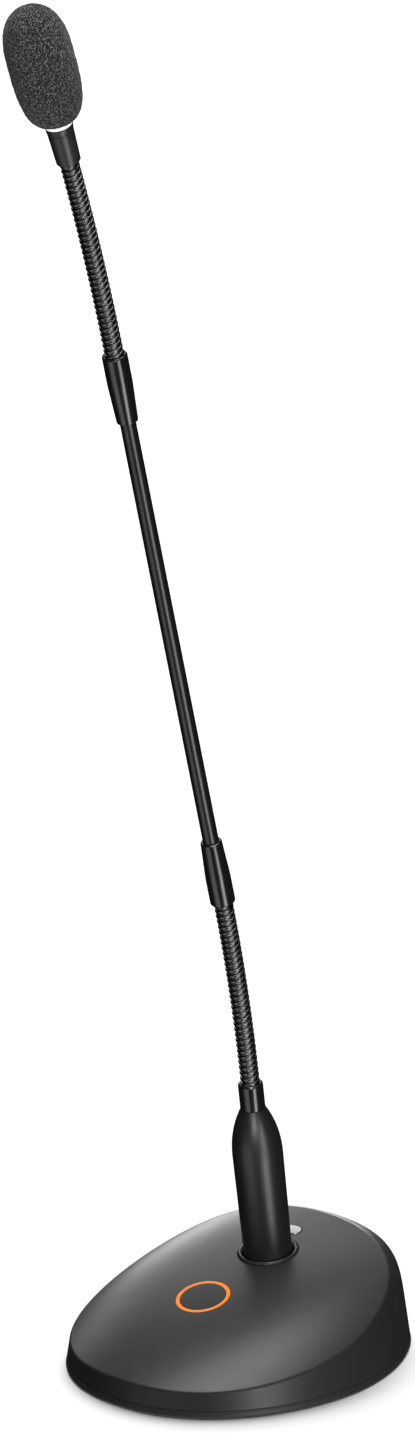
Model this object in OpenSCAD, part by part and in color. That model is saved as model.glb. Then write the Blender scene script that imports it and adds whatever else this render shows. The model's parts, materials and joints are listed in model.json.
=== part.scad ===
// Gooseneck podium microphone on a weighted desk base, built piece by piece.
// Frame: origin at the centre of the base's footprint, on the table. +Z is up, -Y faces the talker
// and +X is the talker's right. The microphone plugs into the base and leans towards the talker.

/* [Base] */
// Width of the base at the table
base_w = 118.1; // [112:0.1:126]
// Length of the base at the table
base_l = 137.7; // [132:0.1:144]
// Roundness of the outline towards the sides, 2 is an ellipse
outline_side = 2.2; // [2:0.05:2.6]
// Roundness of the outline towards the front and rear, 2 is an ellipse
outline_end = 1.87; // [1.8:0.01:2.4]
// Lean of the side wall from the vertical near the table, in degrees
wall_draft = 7.94; // [5:0.02:10]
// How far the wall's rounded shoulder has come in at a height of 40 mm, past the draft
shoulder_in = 11.3; // [8:0.1:13]
// How late the shoulder starts to round, a higher power is later
shoulder_late = 8.2; // [6:0.1:10]
// Thickness of the cover's side wall
wall_t = 2.4; // [1.6:0.1:3]
// Thickness of the cover's roof
roof_t = 2.4; // [1.6:0.1:3]
// Height of the dome over its reference point
dome_h = 35.9; // [35:0.05:36.2]
// Place of the dome's reference point along Y
dome_y = 16.4; // [14:0.1:19]
// Rise of the dome per 50 mm towards the rear
dome_rise = 8; // [7:0.05:9]
// Fall of the dome at 50 mm to the front or rear
dome_fall = 2.15; // [1.6:0.05:3]
// Steepening of the dome towards the front, at 50 mm
dome_steepen = 1.27; // [0.8:0.01:1.6]
// Fall of the dome at 50 mm to either side
dome_cross = 3.5; // [2.5:0.05:4.5]
// Extra fall to either side, 50 mm in front of the reference point or behind it
dome_roll = 3.5; // [2.5:0.05:4.5]
// Rounding of the dome close to its sides, at 50 mm
dome_edge = 5.85; // [5:0.05:7]
// Thickness of the rubber pad under the base
pad_t = 0.5; // [0.4:0.1:1.2]
// Thickness of the bottom plate
plate_t = 2.6; // [2:0.1:3]
// Thickness of the ballast weight
ballast_t = 6; // [4:0.5:7]

/* [Socket and plug] */
// Place of the socket along Y
socket_y = 16.1; // [14:0.1:19]
// Height of the socket's flange face
socket_z = 36.5; // [36:0.1:37.5]
// Forward lean of the socket and the plug, in degrees
socket_lean = 8; // [6:0.1:10]
// Outer diameter of the socket's flange
flange_d = 22.4; // [22:0.1:23]
// Outer diameter of the plug barrel
barrel_d = 18.9; // [18.6:0.05:19.1]
// Depth of the barrel in the socket
plug_depth = 19; // [16:0.5:20]
// Radius of the circle on which the three pins stand
pin_circle_r = 4.75; // [4.5:0.05:5]
// Diameter of a pin
pin_d = 2.4; // [2.2:0.1:2.5]

/* [Light ring] */
// Place of the light ring along Y
ring_y = -19.8; // [-24:0.2:-16]
// Middle diameter of the light ring's band
ring_d = 19; // [18:0.5:22]
// Width of the light ring's band
ring_band = 1.4; // [1.2:0.1:2]

/* [Release tab] */
// Inner radius of the tab about the socket's axis
tab_r_in = 14.6; // [14.2:0.1:15]
// Outer radius of the tab about the socket's axis
tab_r_out = 20.4; // [19:0.1:21]
// Angle that the tab spans, in degrees
tab_span = 39; // [30:1:50]
// Rounding of the tab's outer corners
tab_round = 3.4; // [2:0.1:3.8]
// Turn of the tab's middle from the rear towards -X, in degrees
tab_turn = 17; // [0:1:20]
// Travel of the tab when it is pressed
tab_travel = 1.2; // [0.8:0.1:1.5]

/* [Output socket] */
// Height of the output socket's axis
output_z = 21; // [20:0.5:22]
// Bore of the output socket's shell
output_bore_d = 16.2; // [16:0.1:16.4]
// Outer diameter of the output socket's shell
output_d = 22; // [21:0.5:23]

/* [Barrel and ferrule] */
// Length of the barrel above the socket's face
barrel_h = 59.3; // [56:0.1:64]
// Height at which the barrel's shoulder starts
shoulder_h = 40; // [36:0.5:44]
// Diameter of the barrel's top and of the ferrule
ferrule_d = 9.36; // [9:0.02:10]
// Length of the ferrule
ferrule_h = 10.4; // [9:0.1:12]

/* [Gooseneck] */
// Diameter of the flexible sections
flex_d = 7.24; // [7:0.02:7.6]
// Length of the lower flexible section
flex_low_l = 76.5; // [74:0.5:80]
// Length of the upper flexible section
flex_up_l = 81.5; // [78:0.5:84]
// Number of joints in each flexible section
flex_joints = 8; // [8]
// Outer diameter of the centre tube
tube_d = 6; // [5.8:0.1:6.2]
// Length of the collar between the lower flexible section and the tube
lower_collar_l = 26.4; // [24:0.1:29]
// Length of the collar between the tube and the upper flexible section
upper_collar_l = 27.8; // [24:0.1:29]
// Diameter of a collar's wide end
collar_d = 9.38; // [9.2:0.02:9.6]
// Diameter of a collar's narrow end
collar_tip_d = 7.95; // [7.6:0.05:8.2]
// Distance from one flexible section to the other
stem_l = 232.5; // [226:0.5:236]
// Forward lean of the centre tube, in degrees
tube_lean = 14.35; // [13:0.05:15.5]
// Forward lean of the head, in degrees
head_lean = 19.2; // [18:0.1:21]

/* [Head] */
// Length of the head body
head_l = 15.9; // [15:0.1:17]
// Diameter of the head body at its top
head_d = 10.3; // [10:0.1:10.6]
// Width of the light ring on the head
head_ring_h = 1.9; // [1.6:0.1:2.2]
// Diameter of the foam windscreen
foam_d = 24.4; // [23:0.1:26]
// Length of the foam windscreen
foam_l = 47.3; // [46:0.1:52]
// Place of the windscreen's widest part, as a share of its length
foam_wide = 0.54; // [0.45:0.01:0.65]

/* [Hidden] */
$fn = 48;

// Small amount by which cutters pass the face that they cut
over = 1;

// ---- Levels and small sizes of the base ----
plate_z = pad_t;
ballast_z = plate_z + plate_t;
seam = 0.1;
cover_z = ballast_z + seam;
ballast_top = ballast_z + ballast_t;
outline_n = 60;
roof_rings = 5;
wall_rings = 6;
shoulder_z = 40;
crease_steps = 30;
pad_inset = 3.2;
ballast_inset = 9;
ballast_hole_r = 15;
ballast_notch_w = 34;
ballast_notch_y = 38;
boss_r = 3.6;
boss_x = 34;
boss_front_y = -36;
boss_rear_y = 36;
screw_r = 1.25;
screw_head_r = 2.8;
screw_l = 11;
boss_places = [for (x = [-1, 1], y = [boss_front_y, boss_rear_y]) [x * boss_x, y]];

// ---- Socket ----
socket_gap = 0.3;
socket_bore_r = barrel_d / 2 + socket_gap;
flange_t = 2.6;
flange_bevel = 0.5;
lead_in = 0.6;
cover_gap = 0.4;
socket_bottom = -25;
socket_tail = -27.5;
socket_floor = -21.5;
insert_r = 7.75;
insert_top = -3.6;
contact_r = 1.85;
contact_bore_r = pin_d / 2 + 0.15;
nut_top = -4;
nut_h = 3;
nut_r = 13.3;
barrel_wall = 1.35;
barrel_bore_r = barrel_d / 2 - barrel_wall;
plug_face = -2.6;
plug_insert_h = 10;
pin_angles = [30, 150, 270];
pin_low = -15;
pin_high = 11;
grub_z = 4;
grub_r = 1.25;

// ---- Preamplifier board inside the barrel ----
preamp_w = 12;
preamp_t = 1.2;
preamp_low = 12;
preamp_l = 28;
// Blocks on the board: place, then width, depth and height
preamp_blocks = [[-2, 0.5, 18, 4, 1.6, 5], [-3.5, 0.5, 28, 3, 1.3, 3], [1, -1.9, 30, 3, 1.4, 6]];

// ---- Release tab, in the socket's frame ----
tab_top = -0.35;
tab_t = 2.4;
tab_gap = 0.3;
tab_steps = 6;
stem_w = 5;
stem_r_out = 17.4;
stem_low = -13.5;
hook_r = 10;
hook_h = 2;
guide_w = 1.4;
guide_low = -24.5;
guide_h = 14;
seat_top = -22;
spring_r = 1.5;
spring_wire_r = 0.3;
spring_turns = 5;
spring_steps = 10;
spring_at_r = 15.7;

// ---- Light ring, in the ring's frame ----
ring_in_r = ring_d / 2 - ring_band / 2;
ring_out_r = ring_d / 2 + ring_band / 2;
ring_ledge = -3.1;
ring_ledge_t = 1.1;
ring_ledge_in = 0.9;
ring_ledge_out = 1;
inlay_gap = 0.05;
ring_reach = 6;
touch_board_r = 12.2;
touch_board_top = -6;
touch_board_t = 1.2;
touch_board_gap = 0.2;
led_n = 8;
led_w = 1.6;
led_h = 1;
electrode_t = 0.3;
collar_wall = 1.2;

// ---- Main board ----
board_w = 52;
board_y0 = -36;
board_y1 = 1;
board_z = ballast_top + 2.6;
board_t = 1.6;
board_hole_x = 22;
board_hole_y = [-32, -3];
board_screw_r = 0.85;
standoff_r = 2.4;
// Blocks on the board: place, width, depth and height
board_blocks = [[-6, -14, 9, 9, 1.2], [8, -12, 6, 5, 1.5], [14, -22, 5, 3, 1.1]];
// Capacitors on the board: place, radius and height
board_cans = [[-16, -9, 2.5, 4.4], [-16, -3, 2, 3.9]];
board_places = [for (x = [-1, 1], y = board_hole_y) [x * board_hole_x, y]];

// ---- Output socket ----
output_proud = 0.8;
output_depth = 13.5;
output_back = -18;
output_tail = -20;
output_nut_z = -10.8;
output_nut_h = 3;
output_nut_wall = 1.4;
output_lead_in = 0.6;
pin_taper = 0.8;
pin_tip_drop = 0.5;
output_tip = -3.4;
output_insert_r = 7;
output_hole_gap = 0.25;
output_y = base_l / 2 - wall_inset(output_z) + output_proud;

// ---- Wires inside the base ----
wire_r = 0.6;
solder_gap = 0.35;
wire_sides = 8;
wire_steps = 3;
wire_up = unit([0.31, 0.17, 0.93]);

// ---- Gooseneck ----
low_pitch = flex_low_l / flex_joints;
up_pitch = flex_up_l / flex_joints;
ball_r = 2.6;
cup_r = 2.8;
cup_lip = 0.9;
neck_r = 1.7;
link_shoulder = 2.35;
rim_chamfer = 0.5;
lead_bore_r = 0.8;
stub_in = 12;
stub_r = 3.5;
tube_wall = 0.8;
tube_in = 12;

// ---- Head ----
head_bore_r = 4;
foam_gap = 0.15;
foam_bore_r = 4.95;
// Outside of the head body: distance inside the full radius, and height
head_outline = [[0.9, 0], [0.45, 1.4], [0.35, 9], [0.25, 12.8], [0.4, 13], [0.4, 13.3], [0.1, 13.5],
    [0, 15.4], [0.1, head_l]];
head_stub_l = 5.2;
housing_r = 4.6;
housing_wall = 0.7;
housing_foot = 7;
housing_top = 40;
slot_z = 26;
slot_h = 5;
slot_w = 1.6;
capsule_r = 3.1;
capsule_z = 32.5;
capsule_h = 5.5;
capsule_seat_r = 3.85;
capsule_seat_z = 33;
capsule_seat_h = 4.4;
grille_t = 0.7;
grille_hole_r = 0.7;
grille_ring_r = 2.3;
foam_power_top = 2.94;
foam_power_low = 3.1;
foam_corner = 0.427;
foam_foot_r = 5.2;

// ---- Rules of the shapes ----
// Signed power, for the superellipse outline
function spow(v, e) = sign(v) * pow(abs(v), e);
// Point of the base's outline at angle t, moved in by d
function outline(t, d) = [
    (base_w / 2 - d) * spow(cos(t), 2 / outline_side),
    (base_l / 2 - d) * spow(sin(t), 2 / outline_end)
];
// Angles of the outline's points
function outline_t(i) = 360 * i / outline_n;
// How far the outside of the wall has come in at height z
function wall_inset(z) = z * tan(wall_draft) + shoulder_in * pow(max(z, 0) / shoulder_z, shoulder_late);
// Point at angle t of a wall that is moved in by d and lowered by drop, at height z
function wall_point(t, d, drop, z) = let (p = outline(t, d + wall_inset(z + drop))) [p[0], p[1], z];
// Height of the dome over a point of the table
function dome(x, y) = let (q = (y - dome_y) / 50, s = x / 50)
    dome_h + dome_rise * q - dome_fall * q * q + dome_steepen * q * q * q
    - (dome_cross + dome_roll * q * q) * s * s - dome_edge * s * s * s * s;
// Height at which the wall meets the dome, found by going half of the way each time
function crease_z(t, d, drop, z, steps) = steps == 0 ? z :
    let (p = wall_point(t, d, drop, z))
    crease_z(t, d, drop, (z + dome(p[0], p[1]) - drop) / 2, steps - 1);
// Direction of a piece that leans forward by a
function lean_dir(a) = [0, -sin(a), cos(a)];

// Closed solid under the dome, from height low, moved in by d and lowered by drop
module base_solid(d, drop, low) {
    n = outline_n;
    high = [for (i = [0:n - 1]) crease_z(outline_t(i), d, drop, low, crease_steps)];
    wall = [for (k = [0:wall_rings - 1], i = [0:n - 1]) let (share = 1 - pow(1 - k / wall_rings, 2))
        wall_point(outline_t(i), d, drop, low + (high[i] - low) * share)];
    edge = [for (i = [0:n - 1]) wall_point(outline_t(i), d, drop, high[i])];
    roof = [for (k = [roof_rings - 1:-1:1], i = [0:n - 1]) let (f = k / roof_rings)
        [edge[i][0] * f, edge[i][1] * f, dome(edge[i][0] * f, edge[i][1] * f) - drop]];
    top = [[0, 0, dome(0, 0) - drop]];
    rings = wall_rings + roof_rings - 1;
    sides = [for (k = [0:rings - 1], i = [0:n - 1]) let (j = (i + 1) % n) each [
        [k * n + i, (k + 1) * n + j, k * n + j],
        [k * n + i, (k + 1) * n + i, (k + 1) * n + j]
    ]];
    cap = [for (i = [0:n - 1]) [rings * n + i, (rings + 1) * n, rings * n + (i + 1) % n]];
    floor_face = [[for (i = [0:n - 1]) i]];
    polyhedron(points = concat(wall, edge, roof, top), faces = concat(sides, cap, floor_face));
}

// Flat plate of the base's outline, from height z, moved in by d
module outline_plate(z, t, d) {
    translate([0, 0, z])
        linear_extrude(t)
            polygon([for (i = [0:outline_n - 1]) outline(outline_t(i), d)]);
}

// Tube from height z, with bore r_in
module tube(r_out, r_in, z, h) {
    translate([0, 0, z])
        difference() {
            cylinder(r = r_out, h = h);
            translate([0, 0, -over])
                cylinder(r = r_in, h = h + 2 * over);
        }
}

// Frame of the socket and of the barrel: origin at the flange's face, Z along the plug
module on_socket() {
    translate([0, socket_y, socket_z])
        rotate([socket_lean, 0, 0])
            children();
}

// Frame of the light ring: origin on the dome, Z along its normal
ring_q = (ring_y - dome_y) / 50;
ring_slope = atan((dome_rise - 2 * dome_fall * ring_q + 3 * dome_steepen * pow(ring_q, 2)) / 50);
module on_ring() {
    translate([0, ring_y, dome(0, ring_y)])
        rotate([ring_slope, 0, 0])
            children();
}

// Frame of the output socket: origin at its outer face, Z pointing out of the rear wall
module on_output() {
    translate([0, output_y, output_z])
        rotate([wall_draft - 90, 0, 0])
            children();
}

// Places of the three pins about a connector's axis
module at_pins() {
    for (a = pin_angles)
        rotate([0, 0, a])
            translate([pin_circle_r, 0, 0])
                children();
}

// Wedge from the socket's axis with its outer corners rounded, grown by g on every side
function tab_outline(g) = let (
    half = tab_span / 2 + atan(g / tab_r_in),
    r = tab_r_out + g,
    c = tab_round + g,
    turn = half - asin(c / (r - c)),
    corner = [for (i = [0:tab_steps]) let (a = turn + (half + 90 - turn) * i / tab_steps)
        [(r - c) * cos(turn) + c * cos(a), (r - c) * sin(turn) + c * sin(a)]],
    mirrored = [for (i = [tab_steps:-1:0]) [corner[i][0], -corner[i][1]]],
    arc = [for (i = [1 - tab_steps:tab_steps - 1]) let (a = turn * i / tab_steps) [r * cos(a), r * sin(a)]])
    concat([[0, 0]], mirrored, arc, corner);

// Body of the tab's outline from height z0 to z1, grown by g on every side
module tab_sector(g, z0, z1) {
    translate([0, 0, z0])
        linear_extrude(z1 - z0)
            rotate(90 + tab_turn)
                difference() {
                    polygon(tab_outline(g));
                    circle(r = tab_r_in - g);
                }
}

// Frame with X pointing from the socket's axis to the middle of the tab
module at_tab() {
    rotate([0, 0, 90 + tab_turn])
        children();
}

// Point of a smooth curve between b and c, whose neighbours are a and d
function curve_point(a, b, c, d, t) = 0.5 * (2 * b + (c - a) * t + (2 * a - 5 * b + 4 * c - d) * t * t
    + (3 * b - a - 3 * c + d) * t * t * t);
// Smooth curve through the points, with steps from each to the next
function curve(points, steps) = let (n = len(points) - 1) concat(
    [for (i = [0:n - 1], k = [0:steps - 1]) curve_point(
        points[max(i - 1, 0)], points[i], points[i + 1], points[min(i + 2, n)], k / steps)],
    [points[n]]);
function unit(v) = v / norm(v);

// Insulated wire of radius r along a smooth curve through the points
module wire(points, r) {
    path = curve(points, wire_steps);
    n = len(path);
    rings = [for (i = [0:n - 1]) let (
        along = unit(path[min(i + 1, n - 1)] - path[max(i - 1, 0)]),
        across = unit(cross(along, wire_up)),
        other = cross(along, across))
        for (j = [0:wire_sides - 1]) let (b = 360 * j / wire_sides)
            path[i] + r * (cos(b) * across + sin(b) * other)];
    skin = [for (i = [0:n - 2], j = [0:wire_sides - 1])
        let (m = (j + 1) % wire_sides, k = i * wire_sides) each [
            [k + j, k + wire_sides + m, k + m],
            [k + j, k + wire_sides + j, k + wire_sides + m]
        ]];
    ends = [[for (j = [0:wire_sides - 1]) j], [for (j = [wire_sides - 1:-1:0]) (n - 1) * wire_sides + j]];
    polyhedron(points = rings, faces = concat(skin, ends));
}

// ---- Pieces of the base ----
module base_pad() {
    color([0.06, 0.06, 0.06])
        difference() {
            outline_plate(0, pad_t, pad_inset);
            for (p = boss_places)
                translate([p[0], p[1], -over])
                    cylinder(r = screw_head_r + 1, h = pad_t + 2 * over);
        }
}

module bottom_plate() {
    color([0.16, 0.16, 0.17])
        difference() {
            outline_plate(plate_z, plate_t, wall_inset(plate_z));
            for (p = boss_places)
                translate([p[0], p[1], plate_z - over]) {
                    cylinder(r = screw_r + 0.4, h = plate_t + 2 * over);
                    cylinder(r = screw_head_r + 0.2, h = over + 1.6);
                }
        }
}

module ballast_weight() {
    color([0.45, 0.46, 0.48])
        difference() {
            outline_plate(ballast_z, ballast_t, ballast_inset);
            for (p = boss_places)
                translate([p[0], p[1], ballast_z - over])
                    cylinder(r = boss_r + 0.5, h = ballast_t + 2 * over);
            translate([0, socket_y + 4, ballast_z - over])
                cylinder(r = ballast_hole_r, h = ballast_t + 2 * over);
            translate([-ballast_notch_w / 2, ballast_notch_y, ballast_z - over])
                cube([ballast_notch_w, base_l / 2, ballast_t + 2 * over]);
        }
}

module base_screws() {
    color([0.7, 0.7, 0.72])
        for (p = boss_places)
            translate([p[0], p[1], plate_z + 0.1]) {
                cylinder(r = screw_head_r, h = 1.5);
                cylinder(r = screw_r, h = screw_l);
            }
}

module top_cover() {
    color([0.24, 0.24, 0.25])
        difference() {
            union() {
                difference() {
                    base_solid(0, 0, cover_z);
                    base_solid(wall_t, roof_t, cover_z - over);
                }
                intersection() {
                    base_solid(wall_t / 2, roof_t / 2, cover_z);
                    union() {
                        for (p = boss_places)
                            translate([p[0], p[1], cover_z])
                                cylinder(r = boss_r, h = socket_z);
                        on_ring()
                            translate([0, 0, touch_board_top - touch_board_t - 0.8])
                                cylinder(r = touch_board_r + touch_board_gap + collar_wall, h = ring_reach);
                    }
                }
            }
            for (p = boss_places)
                translate([p[0], p[1], cover_z - over])
                    cylinder(r = screw_r + 0.05, h = screw_l);
            on_ring()
                translate([0, 0, -20])
                    cylinder(r = touch_board_r + touch_board_gap, h = 20 + ring_ledge);
            on_ring()
                translate([0, 0, ring_ledge - over])
                    cylinder(r = ring_out_r + inlay_gap, h = ring_reach + 2);
            on_socket()
                translate([0, 0, -8])
                    cylinder(r = flange_d / 2 + cover_gap, h = 16);
            on_socket()
                tab_sector(tab_gap, -8, 4);
            on_output()
                translate([0, 0, -12])
                    cylinder(r = output_d / 2 + output_hole_gap, h = 20);
        }
}

// ---- Pieces of the socket ----
module socket_shell() {
    r = flange_d / 2;
    color([0.2, 0.2, 0.21])
        on_socket()
            difference() {
                union() {
                    rotate_extrude()
                        polygon([
                            [0, socket_bottom], [r - 0.2, socket_bottom], [r - 0.2, -flange_t],
                            [r, -flange_t], [r, -flange_bevel], [r - flange_bevel, 0], [0, 0]
                        ]);
                    at_tab()
                        translate([0, -stem_w / 2 - tab_gap - guide_w, guide_low])
                            cube([stem_r_out + tab_gap, stem_w + 2 * tab_gap + 2 * guide_w, guide_h]);
                }
                translate([0, 0, socket_floor])
                    cylinder(r = socket_bore_r, h = 40);
                translate([0, 0, -lead_in])
                    cylinder(r1 = socket_bore_r, r2 = socket_bore_r + lead_in + 0.01, h = lead_in + 0.01);
                translate([0, 0, socket_bottom - over])
                    cylinder(r = insert_r, h = 20);
                at_tab()
                    translate([tab_r_in - tab_gap - 0.8, -stem_w / 2 - tab_gap, seat_top])
                        cube([10, stem_w + 2 * tab_gap, 30]);
                at_tab()
                    translate([socket_bore_r - 2, -stem_w / 2 - tab_gap, stem_low - tab_travel - 0.6])
                        cube([8, stem_w + 2 * tab_gap, hook_h + tab_travel + 1.2]);
            }
}

module socket_nut() {
    color([0.62, 0.62, 0.64])
        on_socket()
            difference() {
                tube(nut_r, flange_d / 2 - 0.2, nut_top - nut_h, nut_h);
                for (a = [0, 90, 180, 270])
                    rotate([0, 0, a + 45])
                        translate([nut_r - 1, -1, nut_top - nut_h - over])
                            cube([3, 2, nut_h + 2 * over]);
            }
}

module socket_insert() {
    color([0.05, 0.05, 0.06])
        on_socket()
            difference() {
                translate([0, 0, socket_bottom])
                    cylinder(r = insert_r, h = insert_top - socket_bottom);
                at_pins()
                    translate([0, 0, socket_bottom - over])
                        cylinder(r = contact_r, h = 40);
            }
}

module socket_contacts() {
    color([0.85, 0.72, 0.35])
        on_socket()
            at_pins() {
                tube(contact_r, contact_bore_r, socket_bottom + 2, 18);
                translate([0, 0, socket_tail])
                    cylinder(r = 1, h = socket_bottom - socket_tail);
                translate([0, 0, socket_bottom])
                    cylinder(r = contact_r, h = 2);
            }
}

// Point of the table's frame for a point of the socket's frame
function from_socket(x, y, z) = [x, socket_y + y * cos(socket_lean) - z * sin(socket_lean),
    socket_z + y * sin(socket_lean) + z * cos(socket_lean)];

// Wires from the socket's solder tails to the main board
module socket_leads() {
    color([0.7, 0.1, 0.1])
        for (a = pin_angles) {
            x = pin_circle_r * cos(a);
            y = pin_circle_r * sin(a);
            end = [1.3 * x, -1.6, board_z + board_t + solder_gap];
            wire([from_socket(x, y, socket_tail - solder_gap), from_socket(x, y, socket_tail - 1.5),
                [x, 11.8, 6.6], [x, 6.8, 9.5], [end[0], 3.3, 14], end + [0, 0.9, 2.4],
                end + [0, 0, 1], end], wire_r);
        }
}

// ---- Light ring and touch switch ----
module light_ring() {
    color([1, 0.5, 0.15])
        intersection() {
            base_solid(0, 0, 1);
            on_ring() {
                tube(ring_out_r, ring_in_r, ring_ledge - ring_ledge_t, ring_reach + 2);
                tube(ring_out_r + ring_ledge_out, ring_in_r - ring_ledge_in, ring_ledge - ring_ledge_t,
                    ring_ledge_t);
            }
        }
}

module touch_cap() {
    color([0.24, 0.24, 0.25])
        intersection() {
            base_solid(0, 0, 1);
            on_ring()
                translate([0, 0, ring_ledge])
                    cylinder(r = ring_in_r - inlay_gap, h = ring_reach);
        }
}

module touch_electrode() {
    color([0.8, 0.5, 0.3])
        on_ring()
            translate([0, 0, ring_ledge - electrode_t])
                cylinder(r = ring_in_r - ring_ledge_in - 0.2, h = electrode_t);
}

module touch_board() {
    color([0.05, 0.25, 0.12])
        on_ring()
            translate([0, 0, touch_board_top - touch_board_t])
                cylinder(r = touch_board_r, h = touch_board_t);
}

module ring_leds() {
    color([1, 0.85, 0.6])
        on_ring()
            for (i = [0:led_n - 1])
                rotate([0, 0, 360 * i / led_n])
                    translate([ring_d / 2 - led_w / 2, -led_w / 2, touch_board_top])
                        cube([led_w, led_w, led_h]);
}

// ---- Main board ----
module main_board() {
    color([0.05, 0.3, 0.15])
        difference() {
            union() {
                translate([-board_w / 2, board_y0, board_z])
                    cube([board_w, board_y1 - board_y0, board_t]);
                for (b = board_blocks)
                    translate([b[0], b[1], board_z])
                        cube([b[2], b[3], board_t + b[4]]);
                for (c = board_cans)
                    translate([c[0], c[1], board_z])
                        cylinder(r = c[2], h = board_t + c[3]);
            }
            for (p = board_places)
                translate([p[0], p[1], board_z - over])
                    cylinder(r = board_screw_r + 0.25, h = board_t + 2 * over);
        }
}

module board_standoffs() {
    color([0.8, 0.68, 0.35])
        for (p = board_places)
            translate([p[0], p[1], 0])
                tube(standoff_r, board_screw_r + 0.05, ballast_top, board_z - ballast_top);
}

module board_screws() {
    color([0.7, 0.7, 0.72])
        for (p = board_places)
            translate([p[0], p[1], board_z + board_t]) {
                cylinder(r = 1.8, h = 1);
                translate([0, 0, -board_t - 2])
                    cylinder(r = board_screw_r, h = board_t + 2.1);
            }
}

// ---- Output socket at the rear ----
module output_shell() {
    bore = output_bore_d / 2;
    color([0.3, 0.3, 0.32])
        on_output()
            difference() {
                translate([0, 0, output_back])
                    cylinder(r = output_d / 2, h = -output_back);
                translate([0, 0, -output_depth])
                    cylinder(r = bore, h = output_depth + over);
                translate([0, 0, output_back - over])
                    cylinder(r = output_insert_r, h = 10);
                translate([0, 0, -output_lead_in])
                    cylinder(r1 = bore, r2 = bore + output_lead_in + 0.01, h = output_lead_in + 0.01);
            }
}

module output_nut() {
    color([0.62, 0.62, 0.64])
        on_output()
            tube(output_d / 2 + output_nut_wall, output_d / 2, output_nut_z, output_nut_h);
}

module output_insert() {
    color([0.05, 0.05, 0.06])
        on_output()
            difference() {
                translate([0, 0, output_back])
                    cylinder(r = output_insert_r, h = -output_back - output_depth);
                at_pins()
                    translate([0, 0, output_back - over])
                        cylinder(r = pin_d / 2, h = 10);
            }
}

module output_pins() {
    tip = output_tip - pin_taper;
    color([0.85, 0.72, 0.35])
        on_output()
            at_pins() {
                translate([0, 0, output_tail])
                    cylinder(r = pin_d / 2, h = tip - output_tail);
                translate([0, 0, tip])
                    cylinder(r1 = pin_d / 2, r2 = pin_d / 2 - pin_tip_drop, h = pin_taper);
            }
}

// Point of the table's frame for a point of the output socket's frame
function from_output(x, y, z) = [x, output_y + y * sin(wall_draft) + z * cos(wall_draft),
    output_z - y * cos(wall_draft) + z * sin(wall_draft)];

// Wires from the output pins to the main board, past the socket
module output_leads() {
    color([0.1, 0.2, 0.6])
        for (k = [0:2]) {
            a = pin_angles[k];
            x = pin_circle_r * cos(a);
            y = pin_circle_r * sin(a);
            lane = [20, 22, 18][k];
            lane_z = [12, 14, 16][k];
            bend = [[10, 42.6, 12.6], [12, 41.1, 16.6], [8, 42, 20]][k];
            end = [lane - 2, -1.8, board_z + board_t + solder_gap];
            wire([from_output(x, y, output_tail - solder_gap), from_output(x, y, output_tail - 1.5),
                bend, [lane, 32, lane_z], [lane, 12, lane_z], [lane, 4, 16], end + [0, 0.9, 2.4],
                end + [0, 0, 1], end], wire_r);
        }
}

// ---- Release tab and its spring ----
module release_tab() {
    color([0.85, 0.86, 0.88])
        on_socket() {
            tab_sector(0, tab_top - tab_t, tab_top);
            at_tab()
                translate([tab_r_in, -stem_w / 2, stem_low])
                    cube([stem_r_out - tab_r_in, stem_w, tab_top - tab_t - stem_low + 0.1]);
            at_tab()
                translate([hook_r, -stem_w / 2 + 0.5, stem_low])
                    cube([tab_r_in - hook_r + 0.1, stem_w - 1, hook_h]);
        }
}

// Closed helix of round wire between the seat and the tab's stem
module tab_spring() {
    low = seat_top + spring_wire_r + 0.05;
    high = stem_low - spring_wire_r - 0.05;
    steps = spring_turns * spring_steps;
    sides = 6;
    points = [for (i = [0:steps], j = [0:sides - 1]) let (a = 360 * i / spring_steps, b = 360 * j / sides,
        r = spring_r + spring_wire_r * cos(b))
        [r * cos(a), r * sin(a), low + (high - low) * i / steps + spring_wire_r * sin(b)]];
    skin = [for (i = [0:steps - 1], j = [0:sides - 1]) let (m = (j + 1) % sides) each [
        [i * sides + j, i * sides + m, (i + 1) * sides + m],
        [i * sides + j, (i + 1) * sides + m, (i + 1) * sides + j]
    ]];
    ends = [[for (j = [sides - 1:-1:0]) j], [for (j = [0:sides - 1]) steps * sides + j]];
    color([0.75, 0.76, 0.78])
        on_socket()
            at_tab()
                translate([spring_at_r, 0, 0])
                    polyhedron(points = points, faces = concat(skin, ends));
}

// ---- Plug end of the microphone, in the socket's frame ----
shoulder_power = 2.2;
shoulder_steps = 14;
module barrel() {
    top_r = ferrule_d / 2;
    r = barrel_d / 2;
    shoulder = [for (i = [0:shoulder_steps]) let (u = i / shoulder_steps)
        [top_r + (r - top_r) * (1 - pow(u, shoulder_power)), shoulder_h + (barrel_h - shoulder_h) * u]];
    inner = [
        [stub_r, barrel_h], [stub_r, barrel_h - 8],
        [barrel_bore_r, shoulder_h + 3], [barrel_bore_r, -plug_depth]
    ];
    color([0.03, 0.03, 0.03])
        on_socket()
            difference() {
                rotate_extrude()
                    polygon(concat([[r - 0.5, -plug_depth], [r, -plug_depth + 0.5]], shoulder, inner));
                translate([0, 0, grub_z])
                    rotate([-90, 0, 0])
                        cylinder(r = grub_r + 0.05, h = 12);
            }
}

module plug_insert() {
    color([0.05, 0.05, 0.06])
        on_socket()
            difference() {
                translate([0, 0, plug_face])
                    cylinder(r = barrel_bore_r, h = plug_insert_h);
                at_pins()
                    translate([0, 0, plug_face - over])
                        cylinder(r = pin_d / 2, h = plug_insert_h + 2 * over);
            }
}

module plug_pins() {
    color([0.85, 0.72, 0.35])
        on_socket()
            at_pins() {
                translate([0, 0, pin_low + pin_taper])
                    cylinder(r = pin_d / 2, h = pin_high - pin_low - pin_taper);
                translate([0, 0, pin_low])
                    cylinder(r1 = pin_d / 2 - pin_tip_drop, r2 = pin_d / 2, h = pin_taper);
            }
}

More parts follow.
